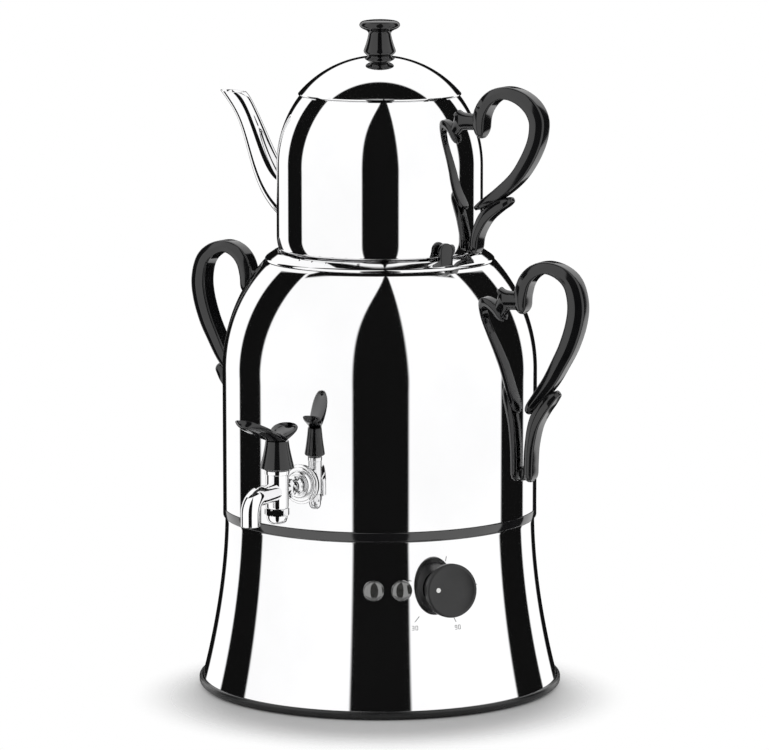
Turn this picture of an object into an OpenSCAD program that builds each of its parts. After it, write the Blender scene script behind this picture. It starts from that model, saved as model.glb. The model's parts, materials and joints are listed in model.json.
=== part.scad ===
// Electric samovar with a teapot standing on it.
// Millimetres, Z up. The origin is on the floor at the axis of the tank.
// The tap points along -Y, the handles along +X and -X.

/* [Tank] */
// Outer radius of the tank
tank_r = 105.3; // [98:0.1:112]
// Sheet thickness of the tank
tank_wall = 1; // [0.6:0.1:1.5]
// Height of the tank's straight wall
tank_straight_h = 92; // [80:1:120]
// Rise that the dome would reach at the axis
dome_h = 108; // [100:1:120]
// Radius of the mouth where the dome ends
mouth_r = 77; // [75:0.5:80]
// Width of the ledge inside the mouth
ledge_w = 7; // [6.5:0.1:7.5]

/* [Base] */
// Height of the base ring's underside above the floor
ring_lift = 1.2; // [0.5:0.1:2]
// Outer radius of the black base ring
ring_r = 122; // [121:0.1:126]
// Height at which the skirt ends at the bottom
skirt_z = 4.2; // [4:0.1:5]
// Height of the skirt's top edge above the floor
skirt_top_z = 114.6; // [100:0.1:130]
// Outer radius of the skirt at its top
skirt_top_r = 103.9; // [100:0.1:104.2]
// How much further out the skirt's foot is than its top
skirt_flare = 16; // [14:0.5:16]
// How late the flare sets in, 1 is a straight cone
flare_power = 1.78; // [1.4:0.02:2.2]
// Sheet thickness of the skirt
skirt_wall = 0.8; // [0.6:0.1:1.2]
// Height of the trim band between skirt and tank
band_h = 6.8; // [5:0.1:9]
// Thickness of the bottom plate
plate_t = 1; // [0.8:0.1:1.5]
// Radius of a rubber foot
foot_r = 9; // [6:0.5:12]
// Distance of the feet from the axis
foot_circle_r = 96; // [80:1:98]

/* [Heater] */
// Radius of the heater plate
heater_r = 60; // [50:1:70]
// Thickness of the heater plate
heater_t = 5; // [4:0.5:6]
// Radius of the heating element's ring
element_ring_r = 46; // [40:1:50]
// Radius of the element's tube
element_r = 3.6; // [3:0.1:4]

/* [Controls] */
// Height of the knob and the lamps on the skirt
control_z = 82.9; // [70:0.1:88]
// Direction of the knob, turned from the tap towards the right handle
knob_angle = 51.5; // [48:0.5:60]
// Radius of the knob's front disc
knob_r = 17.6; // [16:0.1:20]
// How far the knob's face stands out from the skirt
knob_reach = 19; // [16:0.5:22]
// Directions of the two indicator lamps
lamp_angles = [27.1, 37];
// Radius of a lamp's lens
lens_r = 6.8; // [5.5:0.1:7.5]
// Height of the mains inlet at the back
inlet_z = 45; // [42:1:52]

/* [Tap] */
// Distance from the tank wall to the axis of the barrel
tap_reach = 30; // [26:0.5:36]
// Height of the tap's waterway above the tank's lower edge
tap_rise = 29.6; // [26:0.1:40]
// Outer radius of the barrel
barrel_r = 7.5; // [7:0.1:9]
// Radius of the turning plug in the barrel
plug_r = 5; // [4.5:0.1:5.5]
// Outer radius of the spout tube
spout_r = 6.2; // [5.5:0.1:6.6]
// Radius of the waterway
waterway_r = 4; // [3:0.1:4.2]
// Distance from the barrel's axis to the spout's end
spout_reach = 34; // [28:0.5:40]
// Bend radius of the spout
bend_r = 10; // [9:0.5:12]
// Length of the lever's long wing
wing_l = 42; // [36:0.5:46]
// Direction of the long wing, turned from the tap's axis towards the left handle
wing_angle = 2; // [0:1:30]

/* [Handles] */
// Height of the lower handle screw above the tank's lower edge
handle_foot_rise = 28.6; // [24:0.2:34]
// Height of the upper handle screw above the lower one
handle_span = 115; // [112:0.5:116]
// Radius of the upper boss of a handle
boss_r = 6.6; // [6:0.1:7]
// Half width of the handle strap
strap_half_w = 7.6; // [6:0.1:9]
// How far each handle is set back from the diameter across the tap
handle_back = 3.3; // [0:0.1:6]

/* [Teapot] */
// Outer radius of the teapot
pot_r = 68.7; // [67:0.1:69]
// Sheet thickness of the teapot
pot_wall = 0.9; // [0.6:0.1:1.2]
// Height of the teapot's shoulder above its bottom
shoulder_rise = 62.2; // [56:0.1:70]
// Rise that the shoulder would reach at the axis
shoulder_h = 73.9; // [68:0.1:78]
// Radius of the teapot's mouth
rim_r = 53; // [50:0.1:54]
// Radius of the sphere of the teapot's lid
lid_sphere_r = 71; // [66:0.5:76]
// Sheet thickness of the lid
lid_wall = 0.8; // [0.6:0.1:1]
// Height of the lid's knob
lid_knob_h = 24; // [20:0.5:28]

/* [Clearances] */
// Gap between pieces that lift off each other
lift_gap = 0.3; // [0.2:0.05:0.5]
// Radial gap of a turning fit
turn_gap = 0.05; // [0.02:0.01:0.1]
// Radial gap round a fastener
screw_gap = 0.1; // [0.05:0.05:0.3]

/* [Hidden] */
$fn = 96;
cut = 0.5;
big = 400;

// Base ring and bottom plate
ring_top_z = skirt_z + 1.7;
skirt_gap = 0.2;
ledge_z = skirt_z - 0.2;
ring_shelf_r = 110;
ring_shelf_t = 2;
plate_r = 116.3;
plate_top_z = ledge_z;
plate_z = plate_top_z - plate_t;
base_screw_circle_r = ring_shelf_r + 3;
base_screw_r = 1.5;
base_screw_bite = 5;
block_wide = 12;
block_high = 10;
block_reach = 9;

// Skirt and band
band_z = skirt_top_z;
tank_z = band_z + band_h;
flange_t = 1;
band_proud = 0.1;
stud_r = 2;
stud_nut_r = 4;
stud_inset = 7.9;
stud_circle_r = min(tank_r, skirt_top_r) - stud_inset;
band_inner_r = stud_circle_r - stud_nut_r;
flange_inner_r = stud_circle_r - 2 * stud_nut_r;
stud_nut_h = 3.2;
stud_angles = [45, 135, 225, 315];

// Dome and ledge of the mouth
dome_z = tank_z + tank_straight_h;
function dome_height(r) = dome_z + dome_h * sqrt(1 - pow(r / tank_r, 2));
ledge_top_z = dome_height(mouth_r);
ledge_inner_r = mouth_r - ledge_w;
tank_bottom_t = 1.2;
tank_bottom_z = tank_z + 1.6;
heater_z = tank_bottom_z - heater_t;

// Ring lid on the mouth
lid_t = 0.8;
tank_lid_z = ledge_top_z + lift_gap;
tank_lid_r = mouth_r - 0.4;
lid_seat_r = pot_r + 0.2;
lid_crest_r = lid_seat_r + 0.7;
lid_crest_rise = 6;
seat_top_z = tank_lid_z + 0.2;
steam_hole_r = 52;
vent_r = 0.9;
vent_pitch = 9;
lid_knob_angles = [65.4, 245.4];
lift_knob_r = lid_crest_r + 3.3;
lift_knob_h = 12;
lift_knob_w = 10.4;
lift_knob_t = 4.4;

// Teapot
pot_z = seat_top_z + lift_gap;
pot_corner_r = 8;
pot_corner_h = 16;
shoulder_z = pot_z + shoulder_rise;
pot_rim_z = shoulder_z + shoulder_h * sqrt(1 - pow(rim_r / pot_r, 2));
pot_lid_z = pot_rim_z + lift_gap;
pot_lid_r = rim_r + 1.2;
pot_lid_edge = 0.8;
lid_sphere_z = pot_lid_z + pot_lid_edge - sqrt(pow(lid_sphere_r, 2) - pow(pot_lid_r, 2));
lid_collar_h = 7;
lid_collar_r = rim_r - pot_wall - 0.4;
knob_screw_r = 2;

// Lid knob, as heights and radii on its own scale
lid_knob_z = lid_sphere_z + lid_sphere_r - 0.3;
lid_knob_profile = [
    [7.6, -2.6], [8.6, -0.6], [10, 1.2], [10.7, 2.8], [10.4, 4.4], [9.5, 6.8], [8.4, 10.4], [7.6, 14],
    [7.5, 15.4], [9, 16.8], [12.2, 18.4], [13.5, 20.4], [13, 22], [10.6, 23.2], [6, 23.8]
];

// Handles, as distance out from the wall, height and half thickness: the straps' heights
// are measured from the upper boss, the stems' from the foot
strap_path = [
    [-0.6, -7.4, 2.2], [-0.5, -3.6, 4.0], [-0.4, 5, 4.7], [2.6, 14.3, 4.6], [9, 20.8, 4.3],
    [18.1, 23.4, 4.0], [28.6, 20.1, 4.6], [36.1, 12.7, 5.3], [39.4, 0, 5.8], [38, -13, 5.8],
    [33.3, -27.5, 5.6], [27.4, -39.3, 5.2], [20.6, -51.5, 4.7], [12.1, -63, 3.9],
    [6.6, -70, 3.0], [4.4, -73.7, 1.6]
];
stem_path = [
    [5.6, -4.2, 2.0], [5.6, -1, 3.3], [5.7, 7, 3.5], [6.4, 19, 3.6], [9, 33, 4.1],
    [13.6, 43, 4.6], [19.5, 50.5, 4.1], [25, 55.2, 2.2]
];
pot_strap_path = [
    [8.2, -9.4, 2.0], [8, -4.6, 3.9], [8.2, 3.6, 4.6], [10.4, 9.8, 4.6], [15, 15.6, 4.4],
    [21.2, 19.2, 4.1], [29.6, 20, 4.2], [38.8, 17, 4.6], [46.2, 11.2, 5], [50.2, 4, 5.2],
    [50.6, -3.2, 5.1], [48.6, -12.3, 4.9], [43.2, -23.6, 4.7], [35.2, -34.9, 4.3],
    [23.4, -45.2, 3.8], [11.2, -53.2, 2.7], [4.8, -56.8, 1.4]
];
pot_stem_path = [
    [4.3, -3.4, 1.8], [4.3, -0.4, 3.0], [5.2, 7, 3.2], [7.9, 14, 3.6], [12.5, 21.3, 4.1],
    [20.4, 27.6, 3.8], [26.8, 31, 3.0], [30.6, 32.6, 1.6]
];
pot_handle_foot_rise = 11.8;
pot_boss_drop = 14.92;
pot_boss_r = 5.8;
pot_strap_half_w = 7.4;

// Straps whose lower part reaches down to the same place when the span changes
function reaching(path, change) = let (low = path[len(path) - 1][1]) [for (q = path)
    [q[0], q[1] < 0 ? q[1] * (low + change) / low : q[1], q[2]]];
strap_span = 115;
pot_strap_span = 82.5;
foot_boss_r = 4.4;
handle_screw_r = 2;
handle_screw_head_r = 4;
handle_screw_head_h = 2.4;
seal_r = 6;
seal_t = 1.6;
handle_foot_z = tank_z + handle_foot_rise;
handle_boss_z = handle_foot_z + handle_span;
pot_foot_z = pot_z + pot_handle_foot_rise;
pot_boss_z = pot_rim_z - pot_boss_drop;
pot_handle_span = pot_boss_z - pot_foot_z;
handle_turns = [handle_back, 180 - handle_back];

// Teapot spout: the run of its middle line, out from the axis and up from the bottom
pot_spout_path = [[60, 31], [94, 44], [90.6, 84], [113.4, 107]];
pot_spout_neck_r = 6.4;
pot_spout_root_widen = 7.8;
pot_spout_lip_widen = 1.4;
mouth_block = 20;
pot_spout_mouth_rise = 107.6;
strainer_hole_r = 2.2;
strainer_ring_r = 7;
pot_spout_root_rise = 34;

// Tap
tap_y = -(tank_r + tap_reach);
tap_z = tank_z + tap_rise;
stem_r = 5.4;
barrel_top_z = tap_z + 14;
barrel_low_z = tap_z - 11;
neck_z = barrel_top_z + 1;
neck_h = 18;
neck_low_r = 11.1;
neck_top_r = 7.6;
plug_stem_r = 3.4;
spout_low_z = tap_z - 17.5;
rosette_r = 13.2;
rosette_t = 3.2;
nut_r = 9;
nut_h = 4;
gasket_t = 2;
cap_r = 7.3;
cap_h = 10.4;
cap_nut_r = 8.2;
cap_nut_h = 4.6;
short_wing_l = 15;
wing_z = neck_z + neck_h + 1.6;
wing_lift = 14;
short_wing_lift = 5;
wing_root_w = 7.6;
wing_curve = 1.1;
wing_dish = 3.4;
element_end_l = 16;

// Controls
function skirt_r(z) = skirt_top_r
    + skirt_flare * pow(max(0, skirt_top_z - z) / (skirt_top_z - skirt_z), flare_power);
function skirt_lean(z) = atan((skirt_r(z - 1) - skirt_r(z + 1)) / 2);
knob_tilt = skirt_lean(control_z);
knob_neck_r = 14.9;
knob_disc_t = 5;
knob_gap = 0.8;
shaft_r = 3;
thermostat_w = 30;
thermostat_d = 22;
thermostat_gap = 6;
lens_dome = 2.6;
lamp_hole_r = 5;
inlet_w = 34;
inlet_h = 26;
inlet_depth = 22;
inlet_face_y = skirt_r(inlet_z - inlet_h / 2) + 2.4;
socket_w = 25;
socket_h = 17;
socket_depth = 16;
inlet_screw_pitch = inlet_w + 4;
block_l = 40;
block_w = 16;
block_h = 12;

// ---- Shapes used by several pieces ----

// Points of an ellipse's arc from angle t0 to t1
function arc(cx, cz, a, b, t0, t1, n = 12) =
    [for (i = [0:n]) let (t = t0 + (t1 - t0) * i / n) [cx + a * cos(t), cz + b * sin(t)]];

function reversed(p) = [for (i = [len(p) - 1:-1:0]) p[i]];

// Point at share t of the curve from b to c that passes through a, b, c and d
function through(a, b, c, d, t) = 0.5 * (2 * b + (c - a) * t + (2 * a - 5 * b + 4 * c - d) * t * t
    + (3 * b - a - 3 * c + d) * t * t * t);

// Smooth run through all points of p
function smooth(p, steps = 2) = [
    for (i = [0:len(p) - 2]) for (s = [0:steps - 1])
        through(p[max(i - 1, 0)], p[i], p[i + 1], p[min(i + 2, len(p) - 1)], s / steps),
    p[len(p) - 1]
];

function bezier(p, t) = p[0] * pow(1 - t, 3) + 3 * p[1] * t * pow(1 - t, 2)
    + 3 * p[2] * t * t * (1 - t) + p[3] * pow(t, 3);

// Closed skin over rings that all have the same number of points
module skin(rings) {
    m = len(rings[0]);
    n = len(rings);
    points = [for (r = rings) each r];
    sides = [for (i = [0:n - 2]) for (j = [0:m - 1]) let (k = (j + 1) % m) each [
        [i * m + j, (i + 1) * m + j, (i + 1) * m + k],
        [i * m + j, (i + 1) * m + k, i * m + k]
    ]];
    low = [for (j = [0:m - 1]) j];
    high = [for (j = [m - 1:-1:0]) (n - 1) * m + j];
    polyhedron(points = points, faces = concat(sides, [low, high]));
}

// Section of a handle: flat inside, a ridge along each flank, narrower outside
strap_section = [
    [1, 0.76], [0.86, 0.88], [0, 1], [-0.84, 0.74], [-1, 0.6],
    [-1, -0.6], [-0.84, -0.74], [0, -1], [0.86, -0.88], [1, -0.76]
];

// Strap along points [out, up, half thickness], drawn out along +X from the wall
module strap(path, wall_x, foot_z, half_w) {
    p = smooth(path);
    n = len(p);
    skin([for (i = [0:n - 1])
        let (
            d = p[min(i + 1, n - 1)] - p[max(i - 1, 0)],
            l = norm([d[0], d[1]]),
            nx = d[1] / l,
            nz = -d[0] / l,
            w = half_w * min(1, 0.45 + 0.75 * min(i, n - 1 - i) / 4)
        )
        [for (s = strap_section) [
            wall_x + p[i][0] + s[0] * p[i][2] * nx,
            s[1] * w,
            foot_z + p[i][1] + s[0] * p[i][2] * nz
        ]]
    ]);
}

// Cylinder that points away from the axis along -Y, between two distances
module out_cylinder(from_r, to_r, z, r) {
    translate([0, -from_r, z]) rotate([90, 0, 0]) cylinder(h = to_r - from_r, r = r);
}

module ring(inner_r, outer_r, h) {
    difference() {
        cylinder(h = h, r = outer_r);
        translate([0, 0, -cut]) cylinder(h = h + 2 * cut, r = inner_r);
    }
}

function tank_path(g) = concat(
    [[tank_r + g, tank_z]],
    arc(0, dome_z, tank_r + g, dome_h + g, 0, acos((mouth_r + g) / (tank_r + g)), 16)
);

// Solid inside the tank's outer face, grown by g
module tank_volume(g) {
    rotate_extrude($fn = 360) polygon(concat([[0, tank_z]], tank_path(g), [[0, ledge_top_z + g]]));
}

function pot_path(g) = concat(
    arc(pot_r - pot_corner_r, pot_z + pot_corner_h, pot_corner_r + g, pot_corner_h + g, -90, 0, 8),
    arc(0, shoulder_z, pot_r + g, shoulder_h + g, 0, acos((rim_r + g) / (pot_r + g)), 14)
);

// Solid inside the teapot's outer face, grown by g
module pot_volume(g) {
    rotate_extrude($fn = 360) polygon(concat([[0, pot_z - g]], pot_path(g), [[0, pot_rim_z]]));
}

function skirt_path(g) = [for (i = [0:14])
    let (z = skirt_z + (skirt_top_z - skirt_z) * i / 14) [skirt_r(z) + g, z]];

// Solid inside the skirt's outer face, grown by g
module skirt_volume(g) {
    rotate_extrude($fn = 360) polygon(concat([[0, skirt_z]], skirt_path(g), [[0, skirt_top_z]]));
}

// ---- Tank ----

module tank_shell() {
    color("lightgray") difference() {
        rotate_extrude() polygon(concat(tank_path(0), reversed(tank_path(-tank_wall))));
        out_cylinder(tank_r - 10, tank_r + 10, tap_z, stem_r + screw_gap);
        for (turn = handle_turns) rotate([0, 0, turn + 90]) {
            out_cylinder(tank_r - 10, tank_r + 10, handle_foot_z, handle_screw_r + screw_gap);
            out_cylinder(tank_r - 30, tank_r + 10, handle_boss_z, handle_screw_r + screw_gap);
        }
    }
}

// Flat ledge that the mouth ends in
module mouth_ring() {
    inside = tank_path(-tank_wall);
    seam = inside[len(inside) - 1];
    color("lightgray") rotate_extrude() polygon([
        [ledge_inner_r, ledge_top_z], [mouth_r, ledge_top_z], seam,
        [seam[0], ledge_top_z - tank_wall], [ledge_inner_r, ledge_top_z - tank_wall]
    ]);
}

module tank_bottom() {
    color("silver") translate([0, 0, tank_bottom_z])
        cylinder(h = tank_bottom_t, r = tank_r - tank_wall);
}

module tank_studs() {
    color("gray") for (a = stud_angles) rotate([0, 0, a])
        translate([0, -stud_circle_r, skirt_top_z - flange_t - stud_nut_h - 1.5])
            cylinder(h = tank_bottom_z - skirt_top_z + flange_t + stud_nut_h + 1.5, r = stud_r);
}

module stud_nuts() {
    color("dimgray") for (a = stud_angles) rotate([0, 0, a])
        translate([0, -stud_circle_r, skirt_top_z - flange_t - stud_nut_h]) difference() {
            cylinder(h = stud_nut_h, r = stud_nut_r, $fn = 6);
            translate([0, 0, -cut]) cylinder(h = stud_nut_h + 2 * cut, r = stud_r + screw_gap);
        }
}

module heater_plate() {
    color("gainsboro") translate([0, 0, heater_z]) cylinder(h = heater_t, r = heater_r);
}

// Open ring of tube with two cold ends that point down
module heating_element() {
    z = heater_z - element_r;
    color("darkgray") {
        translate([0, 0, z]) rotate([0, 0, 15]) rotate_extrude(angle = 330)
            translate([element_ring_r, 0]) circle(r = element_r, $fn = 32);
        for (side = [-1, 1]) rotate([0, 0, 15 * side]) 
            translate([element_ring_r, 0, z - element_end_l])
                cylinder(h = element_end_l, r = element_r, $fn = 32);
        for (side = [-1, 1]) rotate([0, 0, 15 * side]) translate([element_ring_r, 0, z])
            sphere(r = element_r, $fn = 32);
    }
}

module thermal_cutout() {
    color("tan") translate([0, 0, heater_z - 6]) {
        cylinder(h = 6, r = 9);
        translate([-12, -2, -4]) cube([24, 4, 4]);
    }
}

// ---- Base ----

module trim_band() {
    edge = 0.6;
    outer = tank_r + band_proud;
    color("#303030") difference() {
        rotate_extrude() polygon([
            [band_inner_r, band_z], [outer - edge, band_z], [outer, band_z + edge],
            [outer, tank_z - edge], [outer - edge, tank_z], [band_inner_r, tank_z]
        ]);
        for (a = stud_angles) rotate([0, 0, a]) translate([0, -stud_circle_r, band_z - cut])
            cylinder(h = band_h + 2 * cut, r = stud_r + screw_gap);
    }
}

module base_skirt() {
    color("lightgray") difference() {
        rotate_extrude() polygon(concat(
            skirt_path(0),
            [[flange_inner_r, skirt_top_z], [flange_inner_r, skirt_top_z - flange_t]],
            [[skirt_top_r - skirt_wall, skirt_top_z - flange_t]],
            reversed([for (q = skirt_path(-skirt_wall)) if (q[1] < skirt_top_z - flange_t) q])
        ));
        for (a = stud_angles) rotate([0, 0, a])
            translate([0, -stud_circle_r, skirt_top_z - flange_t - cut])
                cylinder(h = flange_t + 2 * cut, r = stud_r + screw_gap);
        for (a = lamp_angles) rotate([0, 0, a])
            out_cylinder(tank_r - 20, tank_r + 20, control_z, lamp_hole_r + screw_gap);
        on_knob_axis() translate([0, 0, -10]) cylinder(h = 20, r = shaft_r + 1);
        translate([-inlet_w / 2, 0, inlet_z - inlet_h / 2]) cube([inlet_w, big, inlet_h]);
        for (x = [-inlet_screw_pitch, inlet_screw_pitch]) translate([x / 2, big, inlet_z])
            rotate([90, 0, 0]) cylinder(h = big, r = 1.2);
    }
}

// Wedge blocks inside the skirt's foot that the ring's screws run into
module skirt_blocks() {
    low = ledge_z + ring_shelf_t;
    color("gray") for (a = stud_angles) rotate([0, 0, a]) difference() {
        intersection() {
            translate([-block_wide / 2, -ring_shelf_r - block_reach, low])
                cube([block_wide, block_reach - 0.5, block_high]);
            skirt_volume(-skirt_wall);
        }
        translate([0, -base_screw_circle_r, low - cut])
            cylinder(h = base_screw_bite + 1 + cut, r = base_screw_r + screw_gap);
    }
}

// Black ring under the skirt, with a groove for its edge and a shelf for the plate
module base_ring() {
    groove_in = skirt_r(ledge_z + ring_shelf_t) - skirt_wall - skirt_gap;
    groove_out = skirt_r(skirt_z) + skirt_gap;
    color("#1c1c1c") difference() {
        rotate_extrude() polygon([
            [ring_shelf_r, ledge_z], [ring_shelf_r, ledge_z + ring_shelf_t],
            [groove_in, ledge_z + ring_shelf_t], [groove_in, skirt_z], [groove_out, skirt_z], [groove_out, ring_top_z],
            [ring_r - 1, ring_top_z], [ring_r, ring_top_z - 1.3], [ring_r, ring_lift + 1.6],
            [ring_r - 1.6, ring_lift], [plate_r + 0.3, ring_lift], [plate_r + 0.3, ledge_z]
        ]);
        for (a = stud_angles) rotate([0, 0, a]) translate([0, -base_screw_circle_r, 0])
            cylinder(h = 10, r = base_screw_r + screw_gap);
    }
}

module bottom_plate() {
    color("gray") difference() {
        translate([0, 0, plate_z]) cylinder(h = plate_t, r = plate_r);
        for (a = stud_angles) rotate([0, 0, a]) {
            translate([0, -base_screw_circle_r, 0])
                cylinder(h = 10, r = base_screw_r + screw_gap);
            rotate([0, 0, 45]) translate([0, -foot_circle_r, 0])
                cylinder(h = 10, r = 3 + screw_gap);
        }
        for (x = [-24:8:24]) translate([x, 30, 0]) cylinder(h = 10, r = 2);
    }
}

module bottom_screws() {
    head_h = 1.6;
    color("silver") for (a = stud_angles) rotate([0, 0, a])
        translate([0, -base_screw_circle_r, plate_z - head_h]) {
            cylinder(h = head_h, r = 2.8);
            cylinder(h = head_h + plate_t + ring_shelf_t + base_screw_bite, r = base_screw_r);
        }
}

// Rubber feet, each pushed into a hole of the bottom plate
module feet() {
    color("#222222") for (a = stud_angles) rotate([0, 0, a + 45])
        translate([0, -foot_circle_r, 0]) {
            cylinder(h = plate_z, r = foot_r);
            cylinder(h = plate_top_z + 0.6, r = 3);
            translate([0, 0, plate_top_z]) cylinder(h = 1.4, r = 4.2);
        }
}

// ---- Handles of the tank ----

module handle_at(wall_x, foot_z, span, strap_points, stem_points, half_w, top_boss_r, reach_in) {
    strap(strap_points, wall_x, foot_z + span, half_w);
    strap(stem_points, wall_x, foot_z, half_w * 0.92);
    boss_end = wall_x + strap_points[2][0] + 1;
    translate([wall_x - reach_in, 0, foot_z + span]) rotate([0, 90, 0])
        cylinder(h = boss_end - wall_x + reach_in, r = top_boss_r);
    translate([wall_x - 2, 0, foot_z]) rotate([0, 90, 0])
        cylinder(h = stem_points[1][0] + 2, r = foot_boss_r);
}

module tank_handle() {
    difference() {
        handle_at(tank_r, handle_foot_z, handle_span,
            reaching(strap_path, strap_span - handle_span), stem_path, strap_half_w, boss_r, 20);
        tank_volume(0.1);
        translate([tank_r - 30, 0, handle_boss_z]) rotate([0, 90, 0])
            cylinder(h = 27, r = handle_screw_r + screw_gap);
        translate([tank_r - 5, 0, handle_foot_z]) rotate([0, 90, 0])
            cylinder(h = 9.8, r = handle_screw_r + screw_gap);
    }
}

module right_handle() {
    color("#141414") rotate([0, 0, handle_turns[0]]) tank_handle();
}

module left_handle() {
    color("#141414") rotate([0, 0, handle_turns[1]]) tank_handle();
}

// One screw from inside: head, then shank, along +X from the wall's inner side
module wall_screw(wall_x, z, shank_in, shank_out) {
    translate([wall_x - shank_in, 0, z]) rotate([0, 90, 0]) {
        cylinder(h = shank_in + shank_out, r = handle_screw_r);
        cylinder(h = handle_screw_head_h, r = handle_screw_head_r);
    }
}

module handle_screws() {
    upper_in = tank_r - upper_seal_x + handle_screw_head_h;
    lower_in = tank_wall + seal_t + handle_screw_head_h;
    color("silver") for (turn = handle_turns) rotate([0, 0, turn]) {
        wall_screw(tank_r, handle_boss_z, upper_in, -4);
        wall_screw(tank_r, handle_foot_z, lower_in, 4);
    }
}

// Distance from the axis to the flat inner face of the upper seal
upper_seal_x = tank_r * sqrt(1 - pow((handle_boss_z + seal_r - dome_z) / dome_h, 2))
    - tank_wall - seal_t;

module handle_seals() {
    color("#909090") for (turn = handle_turns) rotate([0, 0, turn]) difference() {
        intersection() {
            tank_volume(-tank_wall);
            union() {
                translate([upper_seal_x, 0, handle_boss_z]) rotate([0, 90, 0])
                    cylinder(h = 20, r = seal_r);
                translate([tank_r - tank_wall - seal_t, 0, handle_foot_z]) rotate([0, 90, 0])
                    cylinder(h = 6, r = seal_r);
            }
        }
        for (z = [handle_boss_z, handle_foot_z]) translate([tank_r - 40, 0, z])
            rotate([0, 90, 0]) cylinder(h = 60, r = handle_screw_r + screw_gap);
    }
}

// ---- Tap ----

// Tube of the tap along its waterway: inlet, bend and spout end
module tap_run(r, in_y, low_z) {
    turn_y = -spout_reach + bend_r;
    translate([0, in_y, tap_z]) rotate([90, 0, 0]) cylinder(h = in_y - tap_y - turn_y, r = r);
    translate([0, tap_y + turn_y, tap_z - bend_r]) rotate([90, 0, -90])
        rotate_extrude(angle = 90) translate([bend_r, 0]) circle(r = r, $fn = 48);
    translate([0, tap_y - spout_reach, low_z]) cylinder(h = tap_z - bend_r - low_z, r = r);
}

module tap_body() {
    color("gainsboro") difference() {
        union() {
            tap_run(spout_r, tap_y, spout_low_z);
            translate([0, -(tank_r - 12), tap_z]) rotate([90, 0, 0])
                cylinder(h = tap_reach + 12, r = stem_r);
            translate([0, tap_y, barrel_low_z])
                cylinder(h = barrel_top_z - barrel_low_z, r = barrel_r);
            translate([0, tap_y, barrel_top_z - 3]) cylinder(h = 3, r = barrel_r + 0.5);
        }
        tap_run(waterway_r, tap_y - 2, spout_low_z - cut);
        translate([0, -(tank_r - 13), tap_z]) rotate([90, 0, 0])
            cylinder(h = tap_reach + 13, r = waterway_r - 0.6);
        translate([0, tap_y, barrel_low_z - cut])
            cylinder(h = barrel_top_z - barrel_low_z + 2 * cut, r = plug_r + turn_gap);
    }
}

// Stepped round plate that covers the hole in the tank wall
module tap_rosette() {
    color("gainsboro") difference() {
        translate([0, 0, tap_z]) rotate([90, 0, 0]) translate([0, 0, tank_r - 3])
            rotate_extrude() polygon([
                [stem_r + screw_gap, 0], [rosette_r, 0], [rosette_r, 3.8], [rosette_r - 1, 4.8],
                [rosette_r - 3.2, 5.2], [rosette_r - 4, rosette_t + 3],
                [rosette_r - 5.4, rosette_t + 4.4], [stem_r + screw_gap, rosette_t + 4.4]
            ]);
        tank_volume(0.1);
    }
}

module tap_gasket() {
    color("#707070") difference() {
        intersection() {
            tank_volume(-tank_wall);
            out_cylinder(tank_r - tank_wall - gasket_t, tank_r, tap_z, nut_r + 1);
        }
        out_cylinder(tank_r - 20, tank_r + 5, tap_z, stem_r + screw_gap);
    }
}

module tap_nut() {
    from_r = tank_r - tank_wall - gasket_t - nut_h;
    color("silver") difference() {
        translate([0, -from_r, tap_z]) rotate([90, 0, 0]) cylinder(h = nut_h, r = nut_r, $fn = 6);
        out_cylinder(from_r - 1, from_r + nut_h + 1, tap_z, stem_r + screw_gap);
    }
}

// Hexagonal cap with a round end under the barrel; it keeps the plug in
module tap_cap() {
    color("gainsboro") translate([0, tap_y, barrel_low_z - cap_h]) {
        translate([0, 0, cap_h - cap_nut_h]) cylinder(h = cap_nut_h, r = cap_nut_r, $fn = 6);
        rotate_extrude() polygon(concat(
            [[0, 0]], arc(cap_r - 4.5, 4.5, 4, 4.5, -90, 0, 6), [[cap_r - 0.5, cap_h], [0, cap_h]]
        ));
    }
}

module tap_plug() {
    color("silver") difference() {
        union() {
            translate([0, tap_y, barrel_low_z + 0.5])
                cylinder(h = neck_z - barrel_low_z - 0.5, r = plug_r);
            translate([0, tap_y, neck_z - 1]) cylinder(h = neck_h - 2, r = plug_stem_r);
        }
        translate([-big, tap_y, tap_z]) rotate([0, 90, 0]) cylinder(h = 2 * big, r = waterway_r - 0.6);
    }
}

// Dished leaf of the lever that runs out along -Y and rises to its end
module wing(length, lift, root_w, wide_w, thick, n = 12) {
    skin([for (i = [0:n])
        let (
            s = i / n,
            w = (root_w + (wide_w - root_w) * sin(110 * s)) * sqrt(max(0.05, 1 - pow(s, 5))),
            t = thick * (1 - 0.45 * s),
            rise = lift * pow(s, wing_curve),
            lean = atan(wing_curve * lift / length * pow(max(s, 0.01), wing_curve - 1))
        )
        [for (k = [0:15]) let (c = cos(22.5 * k), d = sin(22.5 * k)) [
            w * c,
            -length * s + t * d * sin(lean),
            rise + t * d * cos(lean) + wing_dish * s * c * c
        ]]
    ]);
}

module tap_lever() {
    color("#181818") translate([0, tap_y, 0]) {
        difference() {
            translate([0, 0, neck_z]) rotate_extrude() polygon(concat(
                [[0, 0], [neck_low_r - 0.8, 0]],
                [for (i = [0:6]) let (s = i / 6)
                    [neck_top_r + (neck_low_r - neck_top_r) * pow(1 - s, 1.3), 0.9 + (neck_h - 0.9) * s]],
                [[0, neck_h]]
            ));
            translate([0, 0, neck_z - 2]) cylinder(h = neck_h - 0.9, r = plug_stem_r + screw_gap);
        }
        translate([0, 0, wing_z]) rotate([0, 0, -wing_angle]) {
            wing(wing_l, wing_lift, wing_root_w, 11.6, 3.4);
            rotate([0, 0, 180]) wing(short_wing_l, short_wing_lift, wing_root_w, 10, 2.6);
        }
    }
}

// ---- Controls ----

// Places a child's +Z along the knob's axis, its origin on the skirt's face
module on_knob_axis() {
    rotate([0, 0, knob_angle]) translate([0, -skirt_r(control_z), control_z])
        rotate([90 - knob_tilt, 0, 0]) children();
}

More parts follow.
